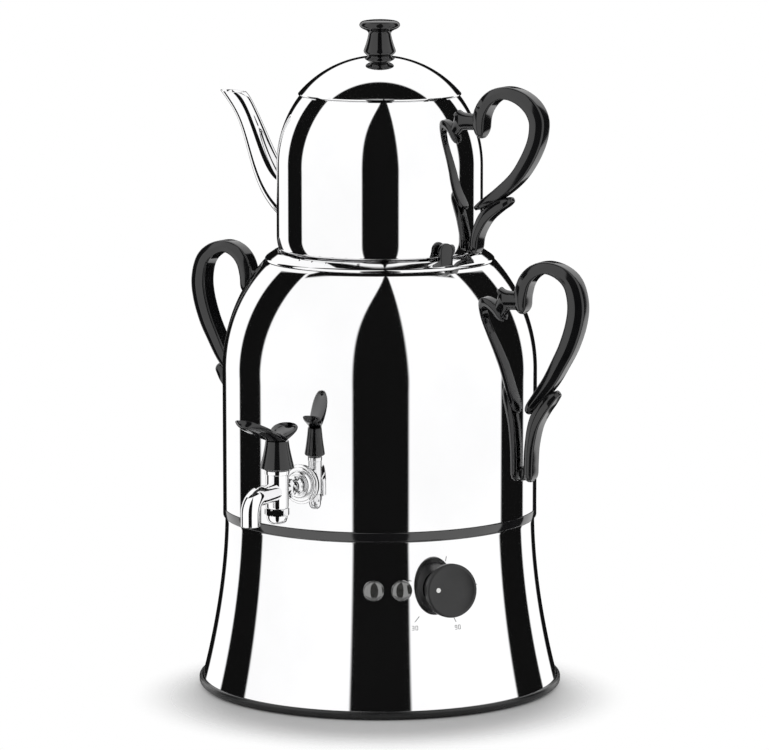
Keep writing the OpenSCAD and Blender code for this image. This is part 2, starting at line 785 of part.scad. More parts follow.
module thermostat_body() {
    color("#d8d0c0") on_knob_axis() difference() {
        union() {
            translate([-thermostat_w / 2, -thermostat_w / 2, -thermostat_gap - thermostat_d])
                cube([thermostat_w, thermostat_w, thermostat_d]);
            translate([0, 0, -thermostat_gap]) cylinder(h = 2.6, r = 5.5);
        }
        translate([0, 0, -thermostat_gap - 14]) cylinder(h = 20, r = shaft_r + turn_gap);
    }
}

module thermostat_bracket() {
    t = 1.2;
    color("gray") on_knob_axis() difference() {
        translate([0, 0, -thermostat_gap]) union() {
            translate([-thermostat_w / 2, -8, 0]) cube([thermostat_w, 16, t]);
            for (x = [-thermostat_w / 2, thermostat_w / 2 - t]) translate([x, -8, 0])
                cube([t, 16, bracket_reach]);
        }
        translate([0, 0, -thermostat_gap - 1]) cylinder(h = 8, r = 5.7);
    }
}
bracket_reach = thermostat_gap - skirt_wall
    - pow(thermostat_w / 2, 2) / (2 * skirt_r(control_z)) - 0.1;

module thermostat_shaft() {
    color("silver") on_knob_axis() translate([0, 0, -thermostat_gap - 12])
        cylinder(h = thermostat_gap + 12 + knob_reach - 7, r = shaft_r);
}

// Front disc on a tapered neck
module thermostat_knob() {
    disc_z = knob_reach - knob_disc_t;
    color("#1e1e1e") on_knob_axis() difference() {
        rotate_extrude() polygon(concat(
            [[0, knob_gap + 0.6], [knob_neck_r - 2.5, knob_gap + 0.6], [knob_neck_r, disc_z - 1]],
            [[knob_r - 1, disc_z], [knob_r, disc_z + 1.2]],
            arc(knob_r - 1.6, knob_reach - 1.6, 1.6, 1.6, 0, 90, 5),
            [[0, knob_reach]]
        ));
        translate([0, 0, -1]) cylinder(h = knob_reach - 7 + 1.2, r = shaft_r + screw_gap);
    }
}

module indicator_lenses() {
    color("#b8b8b0") for (a = lamp_angles) rotate([0, 0, a]) difference() {
        union() {
            translate([0, -lens_seat_r, control_z]) rotate([90, 0, 0]) rotate_extrude()
                polygon(concat([[0, -2], [lens_r, -2], [lens_r, 1]],
                    arc(0, 1, lens_r, lens_dome, 0, 90, 8)));
            out_cylinder(skirt_r(control_z) - 8, lens_seat_r, control_z, lamp_hole_r);
        }
        difference() {
            skirt_volume(0.05);
            out_cylinder(skirt_r(control_z) - 12, lens_seat_r, control_z, lamp_hole_r);
        }
        out_cylinder(skirt_r(control_z) - 9, skirt_r(control_z) - 1, control_z, 3.6);
    }
}
lens_seat_r = skirt_r(control_z) + 0.3;

module indicator_lamps() {
    color("#e0a060") for (a = lamp_angles) rotate([0, 0, a]) {
        out_cylinder(skirt_r(control_z) - 22, skirt_r(control_z) - 8, control_z, 5);
        out_cylinder(skirt_r(control_z) - 8, skirt_r(control_z) - 2, control_z, 3.4);
    }
}

// Moulded inlet whose collar follows the skirt, with a recess for a plug
module power_inlet() {
    side = 2;
    color("#202020") difference() {
        union() {
            difference() {
                translate([-inlet_w / 2 - 4, 0, inlet_z - inlet_h / 2 - 3])
                    cube([inlet_w + 8, inlet_face_y, inlet_h + 6]);
                skirt_volume(0.05);
            }
            translate([-inlet_w / 2 + screw_gap, inlet_face_y - inlet_depth,
                inlet_z - inlet_h / 2 + screw_gap])
                cube([inlet_w - 2 * screw_gap, inlet_depth, inlet_h - 2 * screw_gap]);
        }
        translate([-socket_w / 2, inlet_face_y - socket_depth, inlet_z - socket_h / 2])
            cube([socket_w, socket_depth + 1, socket_h]);
        for (x = [-7, 0, 7]) translate([x - 1.05, inlet_face_y - inlet_depth - 1, pin_z(x) - 2.05])
            cube([2.1, inlet_depth, 4.1]);
        for (x = [-inlet_screw_pitch, inlet_screw_pitch]) translate([x / 2, inlet_face_y, inlet_z])
            rotate([90, 0, 0]) cylinder(h = 14, r = 1.2);
    }
}

// Height of a pin: the middle one sits higher
function pin_z(x) = inlet_z + (x == 0 ? 3 : -2);

module inlet_pins() {
    color("goldenrod") for (x = [-7, 0, 7])
        translate([x - 1, inlet_face_y - inlet_depth - 6, pin_z(x) - 2])
            cube([2, inlet_depth + 3, 4]);
}

module inlet_screws() {
    color("silver") for (x = [-inlet_screw_pitch, inlet_screw_pitch])
        translate([x / 2, inlet_face_y + 1.2, inlet_z]) rotate([90, 0, 0]) {
            cylinder(h = 1.2, r = 1.9);
            cylinder(h = 13, r = 1.1);
        }
}

module terminal_block() {
    color("#e8e4d8") translate([-block_l / 2, 45, plate_top_z]) difference() {
        cube([block_l, block_w, block_h]);
        for (x = [5:10:35]) {
            translate([x, -cut, block_h / 2]) rotate([-90, 0, 0])
                cylinder(h = block_w + 2 * cut, r = 2);
            translate([x, 4, block_h / 2]) cylinder(h = block_h, r = 1.8);
            translate([x, 12, block_h / 2]) cylinder(h = block_h, r = 1.8);
        }
    }
}

// ---- Ring lid of the tank ----

module tank_lid() {
    z = tank_lid_z;
    color("lightgray") difference() {
        rotate_extrude() polygon([
            [tank_lid_r, z], [tank_lid_r, z + 1.2], [tank_lid_r - 1, z + 2.3],
            [lid_crest_r + 1.2, z + lid_crest_rise - 0.4], [lid_crest_r, z + lid_crest_rise],
            [lid_seat_r, z + lid_crest_rise - 0.4],
            [lid_seat_r - 0.2, seat_top_z + 0.6], [lid_seat_r - 0.8, seat_top_z],
            [steam_hole_r, seat_top_z], [steam_hole_r, seat_top_z - lid_t],
            [lid_seat_r - 0.3, seat_top_z - lid_t], [lid_seat_r + 0.6, seat_top_z + 0.3],
            [lid_seat_r + 0.8, z + lid_crest_rise - 1.2], [lid_crest_r + 0.8, z + lid_crest_rise - 1.2],
            [tank_lid_r - 1.4, z + 1.6], [tank_lid_r - 0.9, z]
        ]);
        for (i = [-2:2]) rotate([0, 0, i * vent_pitch])
            translate([0, -(lid_crest_r + 1.7), z]) cylinder(h = 8, r = vent_r);
        for (a = lid_knob_angles) rotate([0, 0, a])
            translate([0, -lift_knob_r, z]) cylinder(h = 8, r = 1.2);
    }
}

// Flat black knobs with round tops
module tank_lid_knobs() {
    low = tank_lid_z + 2.6;
    color("#181818") for (a = lid_knob_angles) rotate([0, 0, a]) difference() {
        translate([0, -lift_knob_r + lift_knob_t / 2, low]) rotate([90, 0, 0])
            linear_extrude(lift_knob_t) union() {
                translate([-lift_knob_w / 2, 0])
                    square([lift_knob_w, lift_knob_h + 3 - lift_knob_w / 2]);
                translate([0, lift_knob_h + 3 - lift_knob_w / 2]) circle(r = lift_knob_w / 2);
            }
        lid_top_volume();
        translate([0, -lift_knob_r, low]) cylinder(h = 8, r = 1.2);
    }
}

// Solid under the sloping top face of the ring lid
module lid_top_volume() {
    z = tank_lid_z;
    rotate_extrude() polygon([
        [lid_seat_r - 2, z - 1], [tank_lid_r + 3, z - 1], [tank_lid_r + 3, z + 1.2],
        [tank_lid_r - 1, z + 2.3], [lid_crest_r + 1.2, z + lid_crest_rise - 0.4],
        [lid_crest_r, z + lid_crest_rise], [lid_seat_r - 2, z + lid_crest_rise]
    ]);
}

module tank_lid_screws() {
    color("silver") for (a = lid_knob_angles) rotate([0, 0, a])
        translate([0, -lift_knob_r, tank_lid_z + 0.2]) {
            cylinder(h = 1.3, r = 2);
            cylinder(h = 8, r = 1.1);
        }
}

// ---- Teapot ----

module teapot_shell() {
    color("lightgray") difference() {
        rotate_extrude() polygon(concat(pot_path(0), reversed(pot_path(-pot_wall))));
        translate([0, 0, pot_z + pot_spout_root_rise]) {
            translate([-pot_r - 5, 0, 0]) rotate([0, 90, 0]) cylinder(h = 12, r = strainer_hole_r);
            for (i = [0:5]) rotate([60 * i, 0, 0]) translate([-pot_r - 5, 0, strainer_ring_r])
                rotate([0, 90, 0]) cylinder(h = 12, r = strainer_hole_r);
        }
        translate([pot_r - 5, 0, pot_foot_z]) rotate([0, 90, 0])
            cylinder(h = 10, r = handle_screw_r + screw_gap);
        translate([pot_r - 20, 0, pot_boss_z]) rotate([0, 90, 0])
            cylinder(h = 20, r = handle_screw_r + screw_gap);
    }
}

module teapot_bottom() {
    color("lightgray") translate([0, 0, pot_z]) cylinder(h = pot_wall, r = pot_r - pot_corner_r);
}

// Solid round the spout's middle line; it narrows to the mouth and flares at the lip
module spout_run(less) {
    n = 18;
    m = 16;
    p = [for (i = [0:n]) bezier(pot_spout_path, i / n)];
    skin([for (i = [0:n])
        let (
            t = i / n,
            d = p[min(i + 1, n)] - p[max(i - 1, 0)],
            u = d / norm(d),
            r = pot_spout_neck_r + pot_spout_root_widen * pow(1 - t, 1.6)
                + pot_spout_lip_widen * pow(max(0, (t - 0.8) / 0.2), 2) - less
        )
        [for (k = [0:m - 1]) let (c = r * cos(360 * k / m), s = r * sin(360 * k / m))
            [-p[i][0] + c * u[1], s, pot_z + p[i][1] + c * u[0]]]
    ]);
}

module teapot_spout() {
    color("lightgray") difference() {
        spout_run(0);
        spout_run(pot_wall);
        pot_volume(0.05);
        translate([-pot_spout_path[3][0], 0, pot_z + pot_spout_mouth_rise]) rotate([0, 4, 0])
            translate([-mouth_block, -mouth_block, 0])
                cube([2 * mouth_block, 2 * mouth_block, mouth_block]);
    }
}

module teapot_handle() {
    color("#141414") difference() {
        handle_at(pot_r, pot_foot_z, pot_handle_span,
            reaching(pot_strap_path, pot_strap_span - pot_handle_span), pot_stem_path,
            pot_strap_half_w, pot_boss_r, 12);
        pot_volume(0.1);
        translate([pot_r - 10, 0, pot_boss_z]) rotate([0, 90, 0])
            cylinder(h = 15, r = handle_screw_r + screw_gap);
        translate([pot_r - 5, 0, pot_foot_z]) rotate([0, 90, 0])
            cylinder(h = 9.4, r = handle_screw_r + screw_gap);
    }
}

// Distances from the axis to the flat inner faces of the teapot's washers
pot_upper_washer_x = pot_r * sqrt(1 - pow((pot_boss_z + seal_r - shoulder_z) / shoulder_h, 2))
    - pot_wall - 1.2;
pot_lower_washer_x = pot_r - pot_corner_r
    + pot_corner_r * sqrt(1 - pow((pot_corner_h - pot_handle_foot_rise + seal_r) / pot_corner_h, 2))
    - pot_wall - 1.2;

module teapot_handle_screws() {
    color("silver") {
        wall_screw(pot_r, pot_boss_z, pot_r - pot_upper_washer_x + handle_screw_head_h, 4);
        wall_screw(pot_r, pot_foot_z, pot_r - pot_lower_washer_x + handle_screw_head_h, 4);
    }
}

module teapot_handle_washers() {
    color("#909090") difference() {
        intersection() {
            pot_volume(-pot_wall);
            union() {
                translate([pot_upper_washer_x, 0, pot_boss_z]) rotate([0, 90, 0])
                    cylinder(h = 12, r = seal_r - 0.8);
                translate([pot_lower_washer_x, 0, pot_foot_z]) rotate([0, 90, 0])
                    cylinder(h = 12, r = seal_r - 0.8);
            }
        }
        for (z = [pot_boss_z, pot_foot_z]) translate([pot_r - 30, 0, z])
            rotate([0, 90, 0]) cylinder(h = 60, r = handle_screw_r + screw_gap);
    }
}

// ---- Teapot lid ----

module teapot_lid() {
    edge_angle = acos(pot_lid_r / lid_sphere_r);
    color("lightgray") difference() {
        rotate_extrude() {
            polygon(concat(
                [[pot_lid_r - lid_wall, pot_lid_z], [pot_lid_r, pot_lid_z]],
                arc(0, lid_sphere_z, lid_sphere_r, lid_sphere_r, edge_angle, 90, 14),
                arc(0, lid_sphere_z, lid_sphere_r - lid_wall, lid_sphere_r - lid_wall, 90,
                    acos((pot_lid_r - lid_wall) / (lid_sphere_r - lid_wall)), 14)
            ));
            translate([lid_collar_r - lid_wall, pot_lid_z - lid_collar_h])
                square([lid_wall, lid_collar_h + collar_top]);
        }
        translate([0, 0, lid_sphere_z]) cylinder(h = big, r = knob_screw_r + screw_gap);
    }
}

// Height above the lid's edge at which the collar meets the underside
collar_top = lid_sphere_z + sqrt(pow(lid_sphere_r - lid_wall / 2, 2) - pow(lid_collar_r, 2)) - pot_lid_z;

module lid_knob() {
    scale_h = lid_knob_h / 24;
    color("#181818") difference() {
        translate([0, 0, lid_knob_z]) rotate_extrude() polygon(concat(
            [[0, lid_knob_profile[0][1]]],
            [for (q = lid_knob_profile) [q[0], q[1] * scale_h]],
            [[0, lid_knob_h]]
        ));
        translate([0, 0, lid_sphere_z]) sphere(r = lid_sphere_r + 0.02, $fn = 180);
        translate([0, 0, lid_sphere_z]) cylinder(h = lid_sphere_r + 13, r = knob_screw_r + screw_gap);
    }
}

module lid_knob_screw() {
    top = lid_sphere_z + lid_sphere_r - lid_wall - 0.6;
    color("silver") {
        translate([0, 0, top - 2]) cylinder(h = 2, r = 4);
        translate([0, 0, top - 1]) cylinder(h = 13.5, r = knob_screw_r);
    }
}

tank_shell();
mouth_ring();
tank_bottom();
tank_studs();
stud_nuts();
heater_plate();
heating_element();
thermal_cutout();
trim_band();
base_skirt();
skirt_blocks();
base_ring();
bottom_plate();
bottom_screws();
feet();
right_handle();
left_handle();
handle_screws();
handle_seals();
tap_body();
tap_rosette();
tap_gasket();
tap_nut();
tap_cap();
tap_plug();
tap_lever();
thermostat_body();
thermostat_bracket();
thermostat_shaft();
thermostat_knob();
indicator_lenses();
indicator_lamps();
power_inlet();
inlet_pins();
inlet_screws();
terminal_block();
tank_lid();
tank_lid_knobs();
tank_lid_screws();
teapot_shell();
teapot_bottom();
teapot_spout();
teapot_handle();
teapot_handle_screws();
teapot_handle_washers();
teapot_lid();
lid_knob();
lid_knob_screw();
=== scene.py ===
"""Electric samovar with a teapot on top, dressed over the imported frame.

Shapes are given in millimetres and become metres in their mesh; the studio is given in metres. Z is up,
the tap points along -Y, the handles lie along +X and -X.
"""
import json
import logging
import math
from dataclasses import dataclass, field
from enum import Enum
from typing import Callable, Sequence

import bmesh
import bpy
import numpy as np
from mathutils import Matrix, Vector


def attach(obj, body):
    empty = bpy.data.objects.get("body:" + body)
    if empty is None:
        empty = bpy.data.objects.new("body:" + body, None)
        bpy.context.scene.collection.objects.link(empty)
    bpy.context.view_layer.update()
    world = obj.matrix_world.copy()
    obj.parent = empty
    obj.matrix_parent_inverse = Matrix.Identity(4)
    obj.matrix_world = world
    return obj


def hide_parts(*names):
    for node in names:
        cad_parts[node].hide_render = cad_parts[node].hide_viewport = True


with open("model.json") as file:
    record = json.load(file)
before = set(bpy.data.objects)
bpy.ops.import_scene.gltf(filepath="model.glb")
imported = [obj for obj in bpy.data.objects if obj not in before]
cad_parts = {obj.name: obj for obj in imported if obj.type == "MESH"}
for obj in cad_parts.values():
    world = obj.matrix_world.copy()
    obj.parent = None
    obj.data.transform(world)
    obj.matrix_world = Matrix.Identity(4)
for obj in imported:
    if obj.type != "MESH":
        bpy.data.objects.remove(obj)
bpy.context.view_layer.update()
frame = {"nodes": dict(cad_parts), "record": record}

log = logging.getLogger("samovar")

MM = 0.001
TAU = 2.0 * math.pi
RELIEF = 0.0002  # height in metres of the surface grain at full strength

Object = bpy.types.Object
Shell = tuple[np.ndarray, bool, bool]  # points (rows, cols, 3), whether rows wrap, whether cols wrap
Place = Callable[[np.ndarray], np.ndarray]  # moves points from a local frame to where they belong


class Body(str, Enum):
    """The CAD bodies that pieces ride on."""

    URN = "urn"
    TAP_KEY = "tap_key"
    DIAL = "thermostat_dial"
    RING_LID = "ring_lid"
    TEAPOT = "teapot"
    COVER = "teapot_cover"


# ----- Shapes -----


def arc(cx: float, cy: float, a: float, b: float, start: float, end: float, n: int = 8) -> np.ndarray:
    """Points of an elliptic arc: centre plus (a cos t, b sin t), t in degrees from start to end.

    Args:
        cx, cy: Centre.
        a, b: Half axes.
        start, end: Angles in degrees.
        n: Number of steps.

    Returns:
        Array of n + 1 points.
    """
    t = np.radians(np.linspace(start, end, n + 1))
    return np.stack([cx + a * np.cos(t), cy + b * np.sin(t)], axis=1)


def joined(*runs: Sequence) -> np.ndarray:
    """Returns the runs of points as one array."""
    return np.concatenate([np.atleast_2d(np.asarray(r, float)) for r in runs])


def catmull(points: Sequence, steps: int) -> np.ndarray:
    """Smooth run through all points: on each stretch the cubic through its ends and neighbours.

    Args:
        points: Rows of numbers; all columns are carried along alike.
        steps: Steps for each stretch.

    Returns:
        Array of points, the last one included.
    """
    p = np.asarray(points, float)
    q = np.vstack([p[:1], p, p[-1:]])
    t = (np.arange(steps) / steps)[None, :, None]
    a, b, c, d = (q[k: len(q) - 3 + k, None, :] for k in range(4))
    run = 0.5 * (2 * b + (c - a) * t + (2 * a - 5 * b + 4 * c - d) * t**2 + (3 * b - a - 3 * c + d) * t**3)
    return np.vstack([run.reshape(-1, p.shape[1]), p[-1:]])


def rounded(points: Sequence, radius: float, n: int) -> np.ndarray:
    """Rounds the corners of a closed outline: each gives way to a parabola tangent to both sides.

    The parabola starts and ends at the given distance from the corner, or at 45% of a shorter side.

    Args:
        points: Corners in order.
        radius: Distance from the corner at which the rounding starts.
        n: Steps for each corner.

    Returns:
        Array of points.
    """
    p = np.asarray(points, float)
    before, after = np.roll(p, 1, 0) - p, np.roll(p, -1, 0) - p
    lb, la = (np.linalg.norm(v, axis=1, keepdims=True) for v in (before, after))
    a = p + before / lb * np.minimum(radius, 0.45 * lb)
    b = p + after / la * np.minimum(radius, 0.45 * la)
    t = np.linspace(0.0, 1.0, n + 1)[None, :, None]
    out = (1 - t) ** 2 * a[:, None] + 2 * t * (1 - t) * p[:, None] + t**2 * b[:, None]
    return out.reshape(-1, p.shape[1])


def grid_faces(rows: int, cols: int, wrap_rows: bool, wrap_cols: bool) -> np.ndarray:
    """Quads of a grid of points numbered row by row.

    Returns:
        Array of four indices for each quad.
    """
    i = np.arange(rows if wrap_rows else rows - 1)[:, None]
    j = np.arange(cols if wrap_cols else cols - 1)[None, :]
    i2, j2 = (i + 1) % rows, (j + 1) % cols
    quad = [i * cols + j, i * cols + j2, i2 * cols + j2, i2 * cols + j]
    return np.stack([np.broadcast_to(q, (i.shape[0], j.shape[1])) for q in quad], axis=-1).reshape(-1, 4)


def signed_volume(points: np.ndarray, quads: np.ndarray) -> float:
    """Volume that the quads enclose, below zero where they face inwards."""
    a, b, c, d = (points[quads[:, k]] for k in range(4))
    cone = np.einsum("ij,ij->i", a, np.cross(b, c)) + np.einsum("ij,ij->i", a, np.cross(c, d))
    return float(cone.sum() / 6.0)


def solid(name: str, shells: Sequence[Shell], sharp: float = 40.0) -> Object:
    """Mesh of closed shells, each a grid of points, with faces turned outwards and doubles merged.

    Args:
        name: Object name.
        shells: For each shell its points (rows, cols, 3) in millimetres, and whether rows and cols wrap.
        sharp: Angle in degrees above which an edge is shaded sharp.

    Returns:
        The object, at the origin.
    """
    points, quads, base = [], [], 0
    for grid, wrap_rows, wrap_cols in shells:
        p = grid.reshape(-1, 3) * MM
        q = grid_faces(grid.shape[0], grid.shape[1], wrap_rows, wrap_cols)
        if signed_volume(p - p.mean(0), q) < 0:
            q = q[:, ::-1]
        points.append(p)
        quads.append(q + base)
        base += len(p)
    mesh = bpy.data.meshes.new(name)
    mesh.from_pydata(np.vstack(points), [], np.vstack(quads))
    tidy = bmesh.new()
    tidy.from_mesh(mesh)
    bmesh.ops.remove_doubles(tidy, verts=tidy.verts, dist=2e-7)
    bmesh.ops.dissolve_degenerate(tidy, edges=tidy.edges, dist=2e-7)
    tidy.to_mesh(mesh)
    tidy.free()
    mesh.shade_smooth()
    mesh.set_sharp_from_angle(angle=math.radians(sharp))
    made = bpy.data.objects.new(name, mesh)
    bpy.context.scene.collection.objects.link(made)
    return made


def lathe_grid(profile: np.ndarray, segments: int) -> np.ndarray:
    """Turns an outline of (radius, height) about Z: each point goes to (r cos t, r sin t, z).

    Returns:
        Points (outline, segments, 3).
    """
    t = np.arange(segments) * TAU / segments
    r, z = profile[:, 0][:, None], profile[:, 1][:, None]
    return np.stack([r * np.cos(t), r * np.sin(t), z + 0.0 * t], axis=-1)


def lathe(name: str, profile: np.ndarray, segments: int = 128, loop: bool = False,
          place: Place | None = None, sharp: float = 40.0) -> Object:
    """Closed solid of revolution.

    Args:
        name: Object name.
        profile: Outline of (radius, height); it starts and ends on the axis unless loop is true.
        segments: Steps round the axis.
        loop: Whether the outline closes on itself, as that of a thin wall does.
        place: Moves the points from the turning axis to their place.
        sharp: Angle above which an edge is shaded sharp.

    Returns:
        The object.
    """
    grid = lathe_grid(profile, segments)
    if place is not None:
        grid = place(grid)
    return solid(name, [(grid, loop, True)], sharp)


def unit(v: np.ndarray) -> np.ndarray:
    """Vectors along the last axis, scaled to length one."""
    return v / np.linalg.norm(v, axis=-1, keepdims=True)


def along(axis: Sequence, origin: Sequence) -> Place:
    """Returns a function that carries local +Z to the given direction and the local origin to its place.

    The new X is up crossed with the axis, or +X where the axis is vertical.
    """
    w = unit(np.asarray(axis, float))
    u = np.cross([0.0, 0.0, 1.0], w)
    u = np.array([1.0, 0.0, 0.0]) if np.linalg.norm(u) < 1e-9 else unit(u)
    v = np.cross(w, u)
    basis = np.stack([u, v, w])
    start = np.asarray(origin, float)
    return lambda p: p @ basis + start


def cut(target: Object, cutters: Sequence[Object], sharp: float = 40.0) -> Object:
    """Takes the cutters out of the target and deletes them."""
    for cutter in cutters:
        step = target.modifiers.new("cut", "BOOLEAN")
        step.operation = "DIFFERENCE"
        step.solver = "EXACT"
        step.object = cutter
    graph = bpy.context.evaluated_depsgraph_get()
    mesh = bpy.data.meshes.new_from_object(target.evaluated_get(graph))
    target.modifiers.clear()
    old, target.data = target.data, mesh
    bpy.data.meshes.remove(old)
    mesh.set_sharp_from_angle(angle=math.radians(sharp))
    for cutter in cutters:
        bpy.data.objects.remove(cutter)
    return target


def drill(name: str, radius: float, depth: float, place: Place) -> Object:
    """Round cutter that runs from the placed origin along its axis."""
    return lathe(name, joined([[0, 0], [radius, 0], [radius, depth], [0, depth]]), 20, place=place)


def spun(grid: np.ndarray, degrees: float) -> np.ndarray:
    """Turns points about Z, from +X towards +Y."""
    a = math.radians(degrees)
    return grid @ np.array([[math.cos(a), math.sin(a), 0], [-math.sin(a), math.cos(a), 0], [0, 0, 1.0]])


def strap_grid(path: np.ndarray, section: np.ndarray, half_width: np.ndarray) -> np.ndarray:
    """Carries a section along a path in a vertical plane.

    A section point (s, w) goes to the path point plus s times the half thickness along the normal
    in the plane, and w times the half width across it.

    Args:
        path: Rows (out, up, half thickness).
        section: Points (s, w) between -1 and 1.
        half_width: Half width at each path point.

    Returns:
        Points (path, section, 3) as (out, across, up).
    """
    d = unit(np.gradient(path[:, :2], axis=0))
    nx, nz = d[:, 1], -d[:, 0]
    s = section[None, :, 0] * path[:, 2][:, None]
    return np.stack([path[:, 0][:, None] + s * nx[:, None], section[None, :, 1] * half_width[:, None],
                     path[:, 1][:, None] + s * nz[:, None]], axis=-1)


def tube_grid(centre: np.ndarray, radius: float, segments: int) -> np.ndarray:
    """Round tube along a curve in the plane x = 0: a ring stands across the curve at each point.

    Args:
        centre: Points of the middle line (n, 3).
        radius: Radius of the tube.
        segments: Points of each ring.

    Returns:
        Points (n, segments, 3).
    """
    side = np.array([1.0, 0.0, 0.0])
    up = np.cross(unit(np.gradient(centre, axis=0)), side)
    t = (np.arange(segments) * TAU / segments)[None, :, None]
    return centre[:, None] + radius * (np.cos(t) * side + np.sin(t) * up[:, None])


def pipe(name: str, outer: np.ndarray, inner: np.ndarray, bulge: float) -> Object:
    """Open tube of an outer and an inner wall, whose lip rises by bulge sin t between the two."""
    lip = [outer[-1] * (1 - k) + inner[-1] * k + np.array([0, 0, bulge * math.sin(math.pi * k)])
           for k in (0.25, 0.5, 0.75)]
    return solid(name, [(np.concatenate([outer, np.array(lip), inner[::-1]]), True, True)], 50)


def capped(grid: np.ndarray, rounding: float = 0.0, steps: int = 5) -> np.ndarray:
    """Closes both ends of a run of rings by drawing them in to a point, over a bulge if rounding is set.

    Each added ring is the end ring scaled by cos t about its middle and pushed out by rounding sin t.
    """

    def end(ring: np.ndarray, beside: np.ndarray) -> np.ndarray:
        """Added rings, from the one next to the end ring to the point."""
        mid = ring.mean(0)
        out = mid - beside.mean(0)
        out = out / max(np.linalg.norm(out), 1e-9)
        t = np.linspace(0.0, math.pi / 2, steps + 1)[1:, None, None]
        return mid + (ring - mid) * np.cos(t) + out * rounding * np.sin(t)

    first, last = end(grid[0], grid[1]), end(grid[-1], grid[-2])
    return np.concatenate([first[::-1], grid, last])


# ----- Finishes -----


class Graph:
    """Short way to add nodes to a shader tree and to feed them."""

    def __init__(self, tree: bpy.types.NodeTree) -> None:
        """Keeps the tree's nodes and links."""
        self.nodes, self.links = tree.nodes, tree.links

    def add(self, kind: str, feeds: dict | None = None, **settings: object) -> bpy.types.Node:
        """Adds a node.

        Args:
            kind: Its type without the word ShaderNode.
            feeds: For each input, by name or number, a plain value or the socket that feeds it.
            settings: The node's own properties.

        Returns:
            The node.
        """
        node = self.nodes.new("ShaderNode" + kind)
        for name, value in settings.items():
            setattr(node, name, value)
        for key, value in (feeds or {}).items():
            if isinstance(value, bpy.types.NodeSocket):
                self.links.new(value, node.inputs[key])
            else:
                node.inputs[key].default_value = value
        return node

    def math(self, operation: str, *values: object, clamp: bool = False) -> bpy.types.NodeSocket:
        """Adds a Math node fed by sockets or numbers and returns its output."""
        return self.add("Math", dict(enumerate(values)), operation=operation, use_clamp=clamp).outputs[0]


def surface_group() -> bpy.types.NodeTree:
    """Group of fine wear: cloudy patches and hair-fine rubbing lines, as a roughness and a height.

    Roughness is the base plus the spread times the clouds plus a twentieth of the lines. Height is
    the lines alone.

    Returns:
        The shader group with inputs Roughness, Spread, Cloud Scale, Line Scale and Lines, and
        outputs Roughness, Clouds and Height.
    """
    tree = bpy.data.node_groups.new("rubbed_surface", "ShaderNodeTree")
    for name, value in (("Roughness", 0.05), ("Spread", 0.03), ("Cloud Scale", 20.0), ("Line Scale", 300.0),
                        ("Lines", 0.2)):
        socket = tree.interface.new_socket(name=name, in_out="INPUT", socket_type="NodeSocketFloat")
        socket.default_value = value
    for name in ("Roughness", "Clouds", "Height"):
        tree.interface.new_socket(name=name, in_out="OUTPUT", socket_type="NodeSocketFloat")
    graph = Graph(tree)
    given, out = tree.nodes.new("NodeGroupInput").outputs, tree.nodes.new("NodeGroupOutput").inputs
    place = graph.add("TexCoord").outputs["Object"]
    clouds = graph.add("TexNoise", {"Detail": 5.0, "Vector": place, "Scale": given["Cloud Scale"]})
    clouds = clouds.outputs["Fac"]
    drawn_out = graph.add("Mapping", {"Vector": place, "Scale": (1.0, 1.0, 0.06)}).outputs["Vector"]
    lines = graph.add("TexNoise", {"Detail": 3.0, "Vector": drawn_out, "Scale": given["Line Scale"]})
    share = graph.math("MULTIPLY", lines.outputs["Fac"], given["Lines"])
    centred = graph.math("SUBTRACT", clouds, 0.5)
    spread = graph.math("MULTIPLY_ADD", centred, given["Spread"], given["Roughness"])
    total = graph.math("MULTIPLY_ADD", share, 0.05, spread, clamp=True)
    for name, socket in (("Roughness", total), ("Clouds", clouds), ("Height", share)):
        tree.links.new(socket, out[name])
    return tree


@dataclass(frozen=True)
class Finish:
    """A finish made of one Principled shader fed by the group of fine wear."""

    name: str
    dark: tuple[float, float, float]
    light: tuple[float, float, float]
    metallic: float = 0.0
    roughness: float = 0.3
    spread: float = 0.05
    cloud_scale: float = 25.0
    line_scale: float = 300.0
    lines: float = 0.2
    bump: float = 0.0
    coat: float = 0.0
    coat_roughness: float = 0.05
    ior: float = 1.5
    grain_scale: float = 0.0

    def build(self, group: bpy.types.NodeTree) -> bpy.types.Material:
        """Makes the material.

        Args:
            group: The group of fine wear.

        Returns:
            The material.
        """
        made = bpy.data.materials.new(self.name)
        made.use_nodes = True
        graph = Graph(made.node_tree)
        shader = graph.nodes["Principled BSDF"].inputs
        for socket, value in (("Metallic", self.metallic), ("IOR", self.ior), ("Coat Weight", self.coat),
                              ("Coat Roughness", self.coat_roughness)):
            shader[socket].default_value = value
        wear = graph.add("Group", {
            "Roughness": self.roughness, "Spread": self.spread, "Cloud Scale": self.cloud_scale,
            "Line Scale": self.line_scale, "Lines": self.lines}, node_tree=group).outputs
        tint = graph.add("ValToRGB", {"Fac": wear["Clouds"]})
        for stop, position, colour in zip(tint.color_ramp.elements, (0.35, 0.65), (self.dark, self.light)):
            stop.position, stop.color = position, (*colour, 1.0)
        graph.links.new(tint.outputs["Color"], shader["Base Color"])
        graph.links.new(wear["Roughness"], shader["Roughness"])
        if self.bump > 0.0:
            height = wear["Height"]
            if self.grain_scale > 0.0:
                place = graph.add("TexCoord").outputs["Object"]
                grain = {"Vector": place, "Scale": self.grain_scale, "Detail": 4.0}
                height = graph.add("TexNoise", grain).outputs["Fac"]
            relief = graph.add("Bump", {"Strength": self.bump, "Distance": RELIEF, "Height": height})
            graph.links.new(relief.outputs["Normal"], shader["Normal"])
        return made


